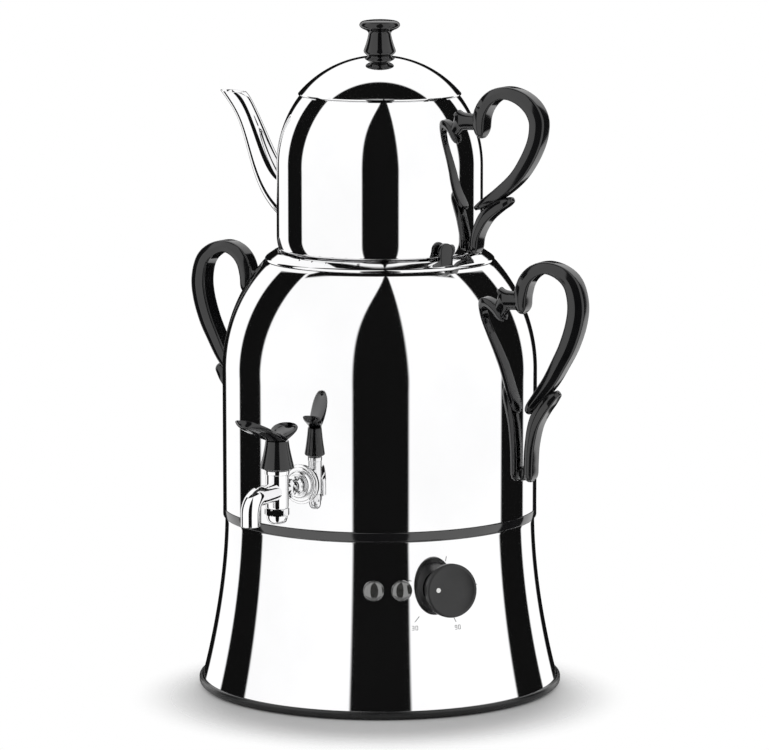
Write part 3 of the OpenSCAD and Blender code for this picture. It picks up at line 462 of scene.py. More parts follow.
FINISHES = {finish.name: finish for finish in (
    Finish("mirror_steel", (0.86, 0.86, 0.865), (0.92, 0.92, 0.925), metallic=1.0, roughness=0.035,
           spread=0.03, cloud_scale=9.0, line_scale=500.0, lines=0.25),
    Finish("plain_steel", (0.50, 0.50, 0.51), (0.62, 0.62, 0.63), metallic=1.0, roughness=0.32, spread=0.2,
           cloud_scale=30.0, line_scale=700.0, lines=1.0, bump=0.3),
    Finish("zinc_steel", (0.42, 0.43, 0.45), (0.60, 0.61, 0.62), metallic=1.0, roughness=0.42, spread=0.25,
           cloud_scale=120.0, bump=0.25, grain_scale=900.0),
    Finish("aluminium", (0.62, 0.62, 0.63), (0.74, 0.74, 0.75), metallic=1.0, roughness=0.45, spread=0.2,
           cloud_scale=60.0, bump=0.3, grain_scale=700.0),
    Finish("black_bakelite", (0.004, 0.004, 0.0045), (0.008, 0.008, 0.0085), roughness=0.09, spread=0.06,
           cloud_scale=40.0, line_scale=250.0, lines=0.4, ior=1.58, bump=0.03, grain_scale=120.0),
    Finish("black_plastic", (0.006, 0.006, 0.006), (0.011, 0.011, 0.0115), roughness=0.26, spread=0.08,
           cloud_scale=50.0, ior=1.5, bump=0.04, grain_scale=1500.0),
    Finish("knob_plastic", (0.011, 0.011, 0.0115), (0.017, 0.017, 0.0175), roughness=0.36, spread=0.12,
           cloud_scale=70.0, bump=0.15, grain_scale=2200.0),
    Finish("grey_plastic", (0.006, 0.006, 0.0065), (0.010, 0.010, 0.0105), roughness=0.07, spread=0.05,
           cloud_scale=50.0, ior=1.8, bump=0.02, grain_scale=900.0),
    Finish("lens_plastic", (0.035, 0.035, 0.033), (0.055, 0.055, 0.052), roughness=0.06, spread=0.05,
           cloud_scale=300.0, coat=1.0, coat_roughness=0.03, ior=2.3),
    Finish("lamp", (0.45, 0.20, 0.06), (0.62, 0.30, 0.10), roughness=0.2, cloud_scale=200.0),
    Finish("rubber", (0.018, 0.018, 0.018), (0.035, 0.035, 0.035), roughness=0.75, spread=0.2,
           cloud_scale=200.0, bump=0.3, grain_scale=1200.0),
    Finish("silicone", (0.35, 0.35, 0.35), (0.46, 0.46, 0.45), roughness=0.55, spread=0.15, cloud_scale=150.0,
           bump=0.2, grain_scale=900.0),
    Finish("brass", (0.62, 0.44, 0.17), (0.78, 0.60, 0.28), metallic=1.0, roughness=0.28, spread=0.15,
           cloud_scale=120.0, bump=0.2),
    Finish("ceramic", (0.62, 0.59, 0.52), (0.76, 0.73, 0.66), roughness=0.6, spread=0.2, cloud_scale=90.0,
           bump=0.25, grain_scale=1100.0),
    Finish("dial_print", (0.10, 0.10, 0.10), (0.16, 0.16, 0.16), roughness=0.6, cloud_scale=900.0),
    Finish("white_mark", (0.80, 0.80, 0.79), (0.88, 0.88, 0.87), roughness=0.45, cloud_scale=900.0),
)}


class Finishes:
    """The materials of the part, each made once."""

    def __init__(self) -> None:
        """Makes every finish from its table entry."""
        group = surface_group()
        self.made = {name: finish.build(group) for name, finish in FINISHES.items()}

    def dress(self, obj: Object, finish: str) -> Object:
        """Gives obj that finish alone and returns it."""
        obj.data.materials.clear()
        obj.data.materials.append(self.made[finish])
        return obj


# ----- Pieces -----


@dataclass
class Part:
    """A sub-assembly that builds pieces and puts them on a CAD body."""

    finishes: Finishes
    body: Body = Body.URN
    made: list[str] = field(default_factory=list)

    def add(self, obj: Object, finish: str, *nodes: str, slot: str | None = None,
            body: Body | None = None) -> Object:
        """Dresses a piece, lets it ride and stand for CAD nodes.

        Args:
            obj: The piece.
            finish: Name of its finish.
            nodes: CAD nodes that it stands for.
            slot: Not used.
            body: The body it rides on, if not the part's own.

        Returns:
            The piece.
        """
        self.finishes.dress(obj, finish)
        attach(obj, (body or self.body).value)
        if nodes:
            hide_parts(*nodes)
        self.made.append(obj.name)
        return obj

    def build(self) -> None:
        """Makes the part's pieces."""
        raise NotImplementedError


# ----- Tank and base -----


@dataclass
class Tank(Part):
    """Domed tank with its mouth ledge, its bottom band and its ring lid."""

    radius: float = 105.3
    wall: float = 1.0
    low: float = 121.4
    dome: float = 213.4
    dome_rise: float = 108.0
    mouth: float = 77.0
    ledge: float = 7.0

    def dome_height(self, r: float) -> float:
        """Height of the dome's outer face at radius r: the ellipse's height there."""
        return self.dome + self.dome_rise * math.sqrt(1 - (r / self.radius) ** 2)

    def wall_run(self, inward: float) -> np.ndarray:
        """Outer face moved inwards: straight wall, then the ellipse to the mouth, or past it outside."""
        a, b = self.radius - inward, self.dome_rise - inward
        past = 1.2 if inward == 0 else 0.0
        end = math.degrees(math.acos((self.mouth - past) / a))
        return joined([[a, self.low]], [[a, self.low + (self.dome - self.low) * k / 6] for k in range(1, 6)],
                      arc(0, self.dome, a, b, 0, end, 72))

    def shell(self) -> Object:
        """Tank shell: outer face, rounded shoulder into the ledge, and the inner face back down."""
        top = self.dome_height(self.mouth)
        outer, inner = self.wall_run(0.0), self.wall_run(self.wall)
        outer = outer[outer[:, 0] >= self.mouth + 0.6]
        lip = [[self.mouth - 0.1, top - 0.05], [self.mouth - 1.0, top], [self.mouth - self.ledge, top]]
        under = [[self.mouth - self.ledge, top - self.wall], [self.mouth - 0.8, top - self.wall]]
        profile = joined(outer, lip, under, inner[::-1][1:])
        return lathe("tank_wall", profile, 256, loop=True)

    def band(self) -> Object:
        """Band between tank and base: a flat face between two fine grooves."""
        low, high, groove = 114.6, self.low, 104.7
        outline = joined([[93, low], [groove, low], [groove, low + 0.45]],
                         arc(104.9, low + 1.0, 0.45, 0.45, -90, 0, 3),
                         arc(104.9, high - 1.0, 0.45, 0.45, 0, 90, 3),
                         [[groove, high - 0.45], [groove, high], [93, high]])
        return lathe("waist_band", outline, 256, loop=True, sharp=30)

    def build(self) -> None:
        """Makes shell and band."""
        self.add(self.shell(), "mirror_steel", "tank_shell", "mouth_ring")
        self.add(self.band(), "grey_plastic", "trim_band")


@dataclass
class RingLid(Part):
    """Pressed ring lid that carries the teapot, with its vents and lifting knobs."""

    body: Body = Body.RING_LID
    tank: Tank | None = None
    gap: float = 0.3
    knob_at: tuple[float, float] = (65.4, 245.4)
    knob_out: float = 72.9
    knob_foot: float = 2.6
    vent_at: float = 71.3
    vent_r: float = 0.9
    vent_step: float = 9.0

    @property
    def low(self) -> float:
        """Height of the rim's lower face: the mouth's top and a small gap."""
        return self.tank.dome_height(self.tank.mouth) + self.gap

    def ring(self) -> Object:
        """Ring: flat seat with the steam hole, a crest, and a slope down to the rim, all of one sheet."""
        outer = [[76.6, 0.0], [76.6, 1.2], [75.6, 2.3], [70.8, 5.6], [69.6, 6.0], [68.9, 5.6], [68.7, 0.8],
                 [68.1, 0.2], [52.0, 0.2]]
        inner = [[52.0, -0.3], [68.4, -0.3], [69.5, 0.5], [69.7, 4.9], [70.4, 4.9], [75.2, 1.7], [75.8, 0.0]]
        sheet = rounded(joined(outer, inner), 0.55, 5) + np.array([0.0, self.low])
        ring = lathe("ring_lid_sheet", sheet, 256, loop=True, sharp=50)
        holes = []
        for k in range(-2, 3):
            t = math.radians(self.vent_step * k - 90.0)
            place = along([0, 0, 1], [self.vent_at * math.cos(t), self.vent_at * math.sin(t), self.low])
            holes.append(drill(f"drill_{k + 2}", self.vent_r, 8, place))
        return cut(ring, holes, 50)

    def knob(self, number: int, angle: float) -> Object:
        """Flat lifting knob with a round top: an outline that grows over a rounded edge.

        A point is the outline's point drawn in near both flat faces, as on a pill: share
        (1 - |s|^6)^(1/6) of its distance to the outline's middle, at s times half the thickness.
        """
        half, top, raised, thick = 5.2, 13.0, 1.9, 2.2
        t = np.radians(np.linspace(0, 180, 25))
        round_top = np.stack([half * np.cos(t), top - half + raised + half * np.sin(t)], axis=1)
        outline = joined([[-half * 0.92, 0.0]], [[half * 0.92, 0.0]], round_top)
        middle = np.array([0.0, 6.0])
        s = np.sin(np.linspace(-math.pi / 2, math.pi / 2, 15))
        share = (1 - np.abs(s) ** 6) ** (1 / 6)
        flat = middle + (outline - middle)[None] * share[:, None, None]
        turn = math.radians(angle - 90.0)
        out = np.array([math.cos(turn), math.sin(turn), 0.0])
        side = np.array([-out[1], out[0], 0.0])
        deep = (self.knob_out + thick * s)[:, None, None] * out
        high = (self.low + self.knob_foot + flat[..., 1:2]) * np.array([0, 0, 1.0])
        return solid(f"lifting_knob_{number}", [(flat[..., 0:1] * side + deep + high, False, True)], 35)

    def build(self) -> None:
        """Makes ring and knobs."""
        self.add(self.ring(), "mirror_steel", "tank_lid")
        for number, angle in enumerate(self.knob_at):
            self.add(self.knob(number, angle), "black_bakelite", "tank_lid_knobs")


@dataclass
class Base(Part):
    """Flared skirt on its black ring."""

    top: float = 114.6
    foot: float = 4.2
    top_r: float = 103.9
    flare: float = 16.0
    power: float = 1.78
    wall: float = 0.8
    inlet: tuple = (17, 90, 130, 32.0, 58.0)  # half width, near, far, low and high of its opening

    def skirt_r(self, z: np.ndarray | float) -> np.ndarray | float:
        """Outer radius at height z: top radius plus flare times the share of the way down to a power."""
        down = np.maximum(0.0, self.top - z) / (self.top - self.foot)
        return self.top_r + self.flare * down**self.power

    def skirt(self) -> Object:
        """Skirt sheet with its top flange, open where the mains inlet sits."""
        z = np.linspace(self.foot, self.top - 0.7, 90)
        outer = np.stack([self.skirt_r(z), z], axis=1)
        inner = np.stack([self.skirt_r(z) - self.wall, z], axis=1)
        inner = inner[inner[:, 1] < self.top - 1.3]
        turn = arc(self.top_r - 0.7, self.top - 0.7, 0.7, 0.7, 0, 90, 4)[1:]
        flange = [[88, self.top], [88, self.top - 1.0], [self.top_r - 1.6, self.top - 1.0]]
        sheet = lathe("base_sheet", joined(outer, turn, flange, inner[::-1]), 256, loop=True)
        half, near, far, low, high = self.inlet
        corners = ((-half, near), (half, near), (half, far), (-half, far))
        box = np.array([[[x, y, z] for x, y in corners] for z in (low, high)])
        return cut(sheet, [solid("inlet_opening", [(capped(box, steps=1), False, True)])])

    def ring(self) -> Object:
        """Black ring: a rounded outer bead, a groove for the skirt's edge and a shelf inside."""
        bead = joined(arc(120.8, 2.9, 1.15, 1.7, -90, 0, 6), arc(120.8, 4.3, 1.15, 1.6, 0, 90, 6))
        outline = joined([[110, 4.0], [117, 4.0], [117, 1.2]], bead,
                         [[120.15, 5.9], [120.1, 4.2], [118.4, 4.2], [118.4, 6.0], [110, 6.0]])
        return lathe("base_bead", outline, 256, loop=True, sharp=35)

    def build(self) -> None:
        """Makes skirt and ring."""
        self.add(self.skirt(), "mirror_steel", "base_skirt")
        self.add(self.ring(), "black_plastic", "base_ring")


# ----- Handles -----


@dataclass
class ScrollHandle(Part):
    """Moulded scroll handle: a curled strap, a leaf that carries it, and a boss at the top.

    Paths are rows of distance out from the wall, height above the foot or the boss, and half thickness.
    """

    name: str = "handle"
    node: str = "right_handle"
    turn: float = 3.3
    wall_x: float = 105.3
    foot_z: float = 150.0
    boss_z: float = 265.0
    half_w: float = 7.6
    stem_share: float = 0.92
    boss_r: float = 6.6
    boss_from: float = 89.0
    strap: tuple = (
        (-0.6, -7.4, 2.2), (-0.5, -3.6, 4.0), (-0.4, 5, 4.7), (2.6, 14.3, 4.6), (9, 20.8, 4.3),
        (18.1, 23.4, 4.0), (28.6, 20.1, 4.6), (36.1, 12.7, 5.3), (39.3, 0, 5.75), (38, -13, 5.8),
        (33.3, -27.5, 5.6), (27.4, -39.3, 5.2), (20.6, -51.5, 4.7), (12.1, -63, 3.9), (6.6, -70, 3.0),
        (4.4, -73.7, 1.6))
    stem: tuple = (
        (5.6, -4.2, 2.0), (5.6, -1, 3.3), (5.7, 7, 3.5), (6.4, 19, 3.6), (9, 33, 4.1), (13.6, 43, 4.6),
        (19.5, 50.5, 4.1), (25, 55.2, 2.2))

    def section(self) -> np.ndarray:
        """Section of the strap, 1 towards its hollow side: a ridge along each flank, narrower outside."""
        half = [(1, 0.76), (0.86, 0.88), (0, 1), (-0.84, 0.74), (-1, 0.6)]
        return rounded(half + [(s, -w) for s, w in half[::-1]], 0.13, 3)

    def run(self, rows: tuple, base_z: float, width: float) -> Shell:
        """One strap of the handle with rounded ends, as a shell; its width grows over 12 steps."""
        path = catmull(rows, 10)
        step = np.arange(len(path))
        ends = np.minimum(step, step[::-1]) / 12.0
        taper = np.minimum(1.0, 0.5 + 0.5 * np.sqrt(np.minimum(ends, 1.0)))
        grid = capped(strap_grid(path, self.section(), width * taper), 1.2, 6)
        grid[..., 0] += self.wall_x
        grid[..., 2] += base_z
        return spun(grid, self.turn), False, True

    def post(self, x: np.ndarray, r: np.ndarray, z: float) -> Shell:
        """Round post at height z, with radius r at each distance x from the part's axis."""
        profile = joined([[0, x[0]]], np.stack([r, x], axis=1), [[0, x[-1]]])
        grid = along([1, 0, 0], [0, 0, z])(lathe_grid(profile, 40))
        return spun(grid, self.turn), False, True

    def boss(self) -> Shell:
        """Trumpet-shaped boss from the wall to the curl: its radius falls off with distance from the wall."""
        x = np.linspace(self.boss_from, self.wall_x + self.strap[2][0] + 1.0, 24)
        s = (x - x[0]) / (x[-1] - x[0])
        return self.post(x, self.boss_r * (0.92 + 0.38 * np.exp(-6.0 * s) + 0.10 * s**4), self.boss_z)

    def foot(self) -> Shell:
        """Short round foot between the wall and the leaf."""
        x = np.linspace(self.wall_x - 0.2, self.wall_x + self.stem[1][0], 8)
        return self.post(x, 4.4 + 0.9 * np.exp(x[0] - x), self.foot_z)

    def build(self) -> None:
        """Makes the handle as one piece of four shells."""
        strap = self.run(self.strap, self.boss_z, self.half_w)
        stem = self.run(self.stem, self.foot_z, self.half_w * self.stem_share)
        made = solid(self.name, [strap, stem, self.boss(), self.foot()], 55)
        self.add(made, "black_bakelite", self.node)


# ----- Tap -----


@dataclass
class Tap(Part):
    """Tap with a rosette on the wall, a barrel, a bent spout and a winged lever."""

    y: float = -135.3
    z: float = 151.0
    wall_y: float = -105.3
    spout_y: float = -169.3
    spout_r: float = 6.2
    bore_r: float = 4.6
    mouth_below: float = 17.5
    bend: float = 10.0
    wing_turn: float = 2.0
    wing_dish: float = 3.4
    wing_rise: float = 34.6

    def spout(self) -> Object:
        """Spout tube: a straight run, a quarter bend and a drop, with its bore open at the mouth."""
        turn = np.radians(np.linspace(0, 90, 20))
        cy, cz = self.spout_y + self.bend, self.z - self.bend
        bend = np.stack([0 * turn, cy - self.bend * np.sin(turn), cz + self.bend * np.cos(turn)], axis=1)
        drop = np.linspace(cz, self.z - self.mouth_below, 10)[1:]
        centre = joined([[0, y, self.z] for y in np.linspace(self.y + 2, cy, 8)[:-1]], bend,
                        np.stack([0 * drop, 0 * drop + self.spout_y, drop], axis=1))
        outer, inner = tube_grid(centre, self.spout_r, 48), tube_grid(centre, self.bore_r, 48)
        return pipe("tap_spout", outer, inner, -0.35)

    def barrel(self) -> Object:
        """Barrel: a straight wall, a collar at its top and a shallow recess under the lever."""
        low, top = self.z - 11.0, self.z + 14.0
        profile = joined([[0, low], [6.9, low]], arc(6.9, low + 0.6, 0.6, 0.6, -90, 0, 3),
                         [[7.5, low + 2], [7.5, top - 3.4]], arc(7.6, top - 2.6, 0.4, 0.4, -90, 0, 3),
                         arc(7.4, top - 0.6, 0.6, 0.6, 0, 90, 4),
                         [[5.2, top], [5.2, top - 1.5], [0, top - 1.5]])
        return lathe("tap_barrel", profile, 64, place=lambda p: p + np.array([0, self.y, 0]), sharp=35)

    def stem(self) -> Object:
        """Stem from inside the tank to the barrel, with two rings between rosette and barrel."""
        profile = joined([[0, -12.0], [5.0, -12.0], [5.4, -11.5], [5.4, 0], [5.4, 7.2], [6.5, 7.6],
                          [6.5, 8.6], [5.4, 9.0], [5.4, 16.5], [7.0, 17.2], [7.0, 18.4], [5.4, 19.0],
                          [5.4, 24.8], [0.0, 24.8]])
        return lathe("tap_stem", profile, 64, place=along([0, -1, 0], [0, self.wall_y, self.z]), sharp=35)

    def rosette(self) -> Object:
        """Stepped round rosette: a flange, a fine groove, a domed boss and a neck round the stem.

        Its back follows the round wall: at x across it lies sqrt(R^2 - x^2) from the tank's axis.
        """
        profile = joined([[5.5, -2.6]], [[13.0, -2.2]], arc(12.4, 0.2, 0.8, 1.0, 0, 90, 5),
                         arc(10.2, 0.9, 1.3, 1.0, 20, 150, 7), arc(7.4, 0.9, 1.9, 3.4, 10, 120, 10),
                         [[6.2, 2.6]], arc(6.0, 3.6, 0.7, 0.9, -40, 90, 6), [[5.5, 4.5]])
        ring = lathe_grid(profile, 96)
        wall_r = -self.wall_y
        sag = wall_r - np.sqrt(wall_r**2 - np.minimum(np.abs(ring[..., 0]), 14.0) ** 2)
        ring[..., 2] = np.where(ring[..., 2] < 0, -sag + 0.05, ring[..., 2])
        grid = along([0, -1, 0], [0, self.wall_y, self.z])(ring)
        return solid("tap_rosette_dressed", [(grid, True, True)], 35)

    def cap(self) -> Object:
        """Hexagonal cap below the barrel, its corners turned off, with a round end."""
        low, high = self.z - 21.4, self.z - 11.0
        profile = joined([[0, low]], arc(2.8, low + 4.5, 4.0, 4.5, -90, 0, 8),
                         [[6.8, high - 4.7], [7.3, high - 4.6], [8.2, high - 4.0], [8.2, high - 0.7],
                          [7.3, high], [0, high]])
        steps, half_flat = 120, 7.1
        grid = lathe_grid(profile, steps)
        turn = (np.arange(steps) * 360.0 / steps + 30.0) % 60.0 - 30.0
        flat = (half_flat / np.cos(np.radians(turn)))[None, :]
        reach = np.linalg.norm(grid[..., :2], axis=-1)
        share = np.minimum(1.0, flat / np.maximum(reach, 1e-6))[..., None]
        nut = (profile[:, 1] > high - 4.65)[:, None, None]
        grid[..., :2] *= np.where(nut, share, 1.0)
        return solid("tap_foot_cap", [(grid + np.array([0, self.y, 0]), False, True)], 25)

    def neck(self) -> Shell:
        """Black flared neck of the lever: its radius falls from foot to top, slower towards the top."""
        low = self.z + 15.0
        s = np.linspace(0, 1, 24)
        r = 7.6 + 3.5 * (1 - s) ** 1.3
        run = np.stack([r, low + 0.9 + 17.1 * s], axis=1)
        profile = joined([[0, low]], arc(10.2, low + 0.9, 0.9, 0.9, -90, -10, 4), run, [[0, low + 18.0]])
        return lathe_grid(profile, 64) + np.array([0, self.y, 0]), False, True

    def wing(self, length: float, lift: float, root: float, wide: float, thick: float,
             turn: float) -> Shell:
        """Dished leaf of the lever: an oval section along a rising line.

        At share s of the way out the line has risen by lift times s to the power 1.1, the half width
        is root plus (wide - root) times the sine of 110 s degrees, closed by a fifth-power round tip,
        and the thickness falls to 55%. The edges rise by the dish times s and the squared share of
        the width.
        """
        s = np.linspace(0.0, 1.0, 40)[:, None]
        around = 32
        t = (np.arange(around) * TAU / around)[None, :]
        w = (root + (wide - root) * np.sin(np.radians(110.0 * s))) * np.sqrt(np.maximum(0.0, 1 - s**5))
        h = thick * (1 - 0.45 * s) * np.sqrt(np.maximum(0.0, 1 - s**10))
        rise = lift * s**1.1
        lean = np.arctan(1.1 * lift / length * np.maximum(s, 0.01) ** 0.1)
        c, d = np.cos(t), np.sin(t)
        grid = np.stack([w * c, -length * s + h * d * np.sin(lean),
                         rise + h * d * np.cos(lean) + self.wing_dish * s * c * c], axis=-1)
        grid = np.concatenate([grid[:1].mean(1, keepdims=True).repeat(around, 1), grid])
        return spun(grid, -turn) + np.array([0, self.y, self.z + self.wing_rise]), False, True

    def build(self) -> None:
        """Makes the tap's pieces."""
        self.add(self.spout(), "mirror_steel", "tap_body")
        self.add(self.barrel(), "mirror_steel", "tap_body")
        self.add(self.stem(), "mirror_steel", "tap_body")
        self.add(self.rosette(), "mirror_steel", "tap_rosette")
        self.add(self.cap(), "mirror_steel", "tap_cap")
        lever = solid("tap_lever_wings", [self.neck(), self.wing(42, 14, 7.6, 11.6, 3.4, self.wing_turn),
                                          self.wing(15, 5, 7.6, 10, 2.6, self.wing_turn + 180)], 50)
        self.add(lever, "black_bakelite", "tap_lever", body=Body.TAP_KEY)


# ----- Controls -----


@dataclass
class Controls(Part):
    """Thermostat knob with its printed scale, and the two indicator lenses."""

    base: Base | None = None
    z: float = 82.9
    knob_angle: float = 51.5
    lamp_angles: tuple[float, float] = (27.1, 37.0)
    knob_r: float = 17.6
    reach: float = 19.0
    lens_r: float = 6.8
    dot_at: tuple[float, float] = (-9.6, 1.0)
    print_low: float = 0.01
    print_high: float = 0.06

    def out(self, angle: float) -> np.ndarray:
        """Horizontal direction at that angle from the tap towards the right handle."""
        t = math.radians(angle)
        return np.array([math.sin(t), -math.cos(t), 0.0])

    def knob_place(self) -> Place:
        """Carries local +Z to the knob's axis and the local origin to the skirt's face."""
        lean = math.atan((self.base.skirt_r(self.z - 1) - self.base.skirt_r(self.z + 1)) / 2)
        out = self.out(self.knob_angle)
        axis = out * math.cos(lean) + np.array([0, 0, math.sin(lean)])
        return along(axis, out * self.base.skirt_r(self.z) + np.array([0, 0, self.z]))

    def knob(self) -> Object:
        """Knob: tapered neck, then a disc with a rounded rim and a faintly dished face."""
        face, disc = self.reach, self.reach - 5.0
        profile = joined([[0, 1.4], [12.4, 1.4], [14.9, disc - 1], [16.6, disc]],
                         arc(16.8, disc + 0.8, 0.8, 0.8, -90, 0, 4),
                         arc(self.knob_r - 1.6, face - 1.6, 1.6, 1.6, 0, 90, 6),
                         [[15.5, face - 0.02], [15.1, face - 0.25], [8, face - 0.3], [0, face - 0.3]])
        return lathe("dial_knob", profile, 96, place=self.knob_place(), sharp=35)

    def mark(self) -> Object:
        """White dot let into the knob's face near its rim."""
        profile = joined([[0, 18.2]], [[1.55, 18.2]], arc(1.3, 18.72, 0.25, 0.08, 0, 90, 3), [[0, 18.8]])
        place, aside = self.knob_place(), np.array([*self.dot_at, 0.0])
        return lathe("dial_dot", profile, 32, place=lambda p: place(p + aside), sharp=50)

    def lens(self, number: int, angle: float) -> Object:
        """Domed lens with a thin collar."""
        out = self.out(angle)
        profile = joined([[0, -2.2]], [[5.0, -2.2]], [[5.0, -0.5]], [[self.lens_r, -0.4]],
                         arc(self.lens_r - 0.3, 0.9, 0.3, 0.3, 0, 60, 3),
                         arc(0, 0.9, self.lens_r - 0.35, 2.6, 4, 90, 14))
        place = along(out, out * (self.base.skirt_r(self.z) + 0.3) + np.array([0, 0, self.z]))
        return lathe(f"lamp_lens_{number}", profile, 48, place=place, sharp=35)

    def on_skirt(self, angle: float, z: float, proud: float) -> np.ndarray:
        """Point on the skirt's face, standing proud of it."""
        return self.out(angle) * (self.base.skirt_r(z) + proud) + np.array([0, 0, z])

    def bar(self, mid: tuple[float, float], way: float, length: float, width: float) -> Shell:
        """Printed bar laid on the skirt: a flat box whose points follow the skirt's face.

        Args:
            mid: Its middle as millimetres across and up from the knob's axis.
            way: Its direction, in degrees from straight across.
            length, width: Its size.
        """
        t = math.radians(way)
        e, f = np.array([math.cos(t), math.sin(t)]), np.array([-math.sin(t), math.cos(t)])
        ways = ((-1, -1), (1, -1), (1, 1), (-1, 1))
        corner = np.array([a * e * length + b * f * width for a, b in ways]) / 2
        r = self.base.skirt_r(self.z)
        rings, low, high = [], self.print_low, self.print_high
        for proud, size in ((low, 0.0), (low, 1.0), (high, 1.0), (high, 0.0)):
            rings.append([self.on_skirt(self.knob_angle + math.degrees(x / r), self.z + y, proud)
                          for x, y in np.asarray(mid) + corner * size])
        return np.array(rings), False, True

    def digit(self, figure: str, at: tuple[float, float], high: float) -> list[Shell]:
        """A figure drawn with seven bars, as on a plain scale."""
        strokes = {"0": "abcdef", "3": "abgcd", "9": "abcdfg"}[figure]
        h, pen = high / 2, high * 0.13
        where = {"a": (0, h, 0), "g": (0, 0, 0), "d": (0, -h, 0), "f": (-h / 2, h / 2, 90),
                 "b": (h / 2, h / 2, 90), "e": (-h / 2, -h / 2, 90), "c": (h / 2, -h / 2, 90)}
        bars = [where[k] for k in strokes]
        return [self.bar((at[0] + x, at[1] + y), way, h, pen) for x, y, way in bars]

    def scale(self) -> Object:
        """Printed scale round the knob: five strokes, two of them with plain figures."""
        strokes = ((-21.7, 6.4, 163, 3.4), (4.1, 19.2, 78, 3.4), (25.7, 0.2, 0, 3.4), (8.6, -20.6, -65, 4.2),
                   (-17.0, -19.0, -130, 4.6))
        shells = [self.bar((x, y), way, length, 0.45) for x, y, way, length in strokes]
        for figures, x, y in (("30", -18.6, -24.6), ("90", 10.4, -26.0)):
            for k, figure in enumerate(figures):
                shells += self.digit(figure, (x + 2.4 * (k - 0.5), y), 2.6)
        return solid("dial_scale", shells, 60)

    def build(self) -> None:
        """Makes the controls."""
        self.add(self.knob(), "knob_plastic", "thermostat_knob", body=Body.DIAL)
        self.add(self.mark(), "white_mark", slot="knob_plastic", body=Body.DIAL)
        for number, angle in enumerate(self.lamp_angles):
            self.add(self.lens(number, angle), "lens_plastic", "indicator_lenses")
        self.add(self.scale(), "dial_print", slot="black_plastic")


# ----- Teapot -----


@dataclass
class Teapot(Part):
    """Teapot without its handle: a round-shouldered shell and a curved spout."""

    body: Body = Body.TEAPOT
    radius: float = 68.7
    wall: float = 0.9
    low: float = 287.87
    shoulder: float = 350.07
    shoulder_rise: float = 73.9
    rim: float = 53.0
    corner_r: float = 8.0
    corner_h: float = 16.0
    strainer_up: float = 34.0
    strainer_ring: float = 7.0
    strainer_r: float = 2.2

    def run(self, inward: float) -> np.ndarray:
        """Outer face moved inwards: bottom corner, straight wall and shoulder up to the rim."""
        base = arc(self.radius - self.corner_r, self.low + self.corner_h, self.corner_r - inward,
                   self.corner_h - inward, -90, 0, 16)
        end = math.degrees(math.acos((self.rim - inward) / (self.radius - inward)))
        rise = self.shoulder - self.low - self.corner_h
        wall = [[self.radius - inward, self.low + self.corner_h + rise * k / 6] for k in range(1, 6)]
        shoulder = arc(0, self.shoulder, self.radius - inward, self.shoulder_rise - inward, 0, end, 60)
        return joined(base, wall, shoulder)

    def shell(self) -> Object:
        """Shell of one sheet with a closed bottom, pierced behind the spout."""
        outer, inner = self.run(0.0), self.run(self.wall)
        profile = joined([[0, self.low]], outer, inner[::-1], [[0, self.low + self.wall]])
        sheet = lathe("teapot_wall", profile, 256)
        holes = []
        for k in range(7):
            t = math.radians(60 * k)
            d = 0.0 if k == 6 else self.strainer_ring
            place = along([-1, 0, 0],
                          [-60, d * math.sin(t), self.low + self.strainer_up + d * math.cos(t)])
            holes.append(drill(f"strainer_{k}", self.strainer_r, 10, place))
        return cut(sheet, holes)

    def spout(self) -> Object:
        """Curved spout: a tube along a cubic curve that narrows, then flares into a beaked lip.

        The radius at share t is 6.4 + 7.8 (1 - t)^1.6, plus 1.4 times the square of how far t has
        gone into the last fifth. The rings lean over into the plane of the mouth in the last
        quarter. Each line along the tube starts where it leaves the pot's wall.
        """
        p = np.array([[-60, 31], [-94, 44], [-90.6, 84], [-113.4, 107]], float)
        lines = 48
        turn = np.arange(lines) * TAU / lines

        def ring(t: np.ndarray, less: float) -> np.ndarray:
            """Points of the tube's wall at share t, one row for each line along it."""
            t = t[..., None]
            c = (1 - t) ** 3 * p[0] + 3 * t * (1 - t) ** 2 * p[1] + 3 * t**2 * (1 - t) * p[2] + t**3 * p[3]
            d = 3 * (1 - t) ** 2 * (p[1] - p[0]) + 6 * t * (1 - t) * (p[2] - p[1]) + 3 * t**2 * (p[3] - p[2])
            lean = np.clip((t - 0.72) / 0.28, 0, 1) ** 1.5
            d = unit((1 - lean) * unit(d) + lean * np.array([0.07, 1.0]))
            t = t[..., 0]
            r = 6.4 + 7.8 * (1 - t) ** 1.6 + 1.4 * np.maximum(0, (t - 0.8) / 0.2) ** 2 - less
            side = np.cos(turn) * (1 + 0.18 * lean[..., 0])
            x = c[..., 0] + r * side * d[..., 1]
            z = c[..., 1] - r * side * d[..., 0]
            return np.stack([x, r * np.sin(turn) + 0 * x, self.low + z], axis=-1)

        def from_wall(less: float) -> np.ndarray:
            """The tube's wall from the pot outwards."""
            shares = np.linspace(0, 0.6, 400)
            fine = ring(np.repeat(shares[:, None], lines, 1), less)
            outside = np.hypot(fine[..., 0], fine[..., 1]) > self.radius - 0.4
            start = shares[np.argmax(outside, axis=0)]
            u = np.linspace(0, 1, 64)[:, None]
            return ring(start[None, :] + (1 - start[None, :]) * u, less)

        return pipe("teapot_spout_tube", from_wall(0.0), from_wall(0.8), 0.25)

    def build(self) -> None:
        """Makes shell and spout."""
        self.add(self.shell(), "mirror_steel", "teapot_shell", "teapot_bottom")
        self.add(self.spout(), "mirror_steel", "teapot_spout")


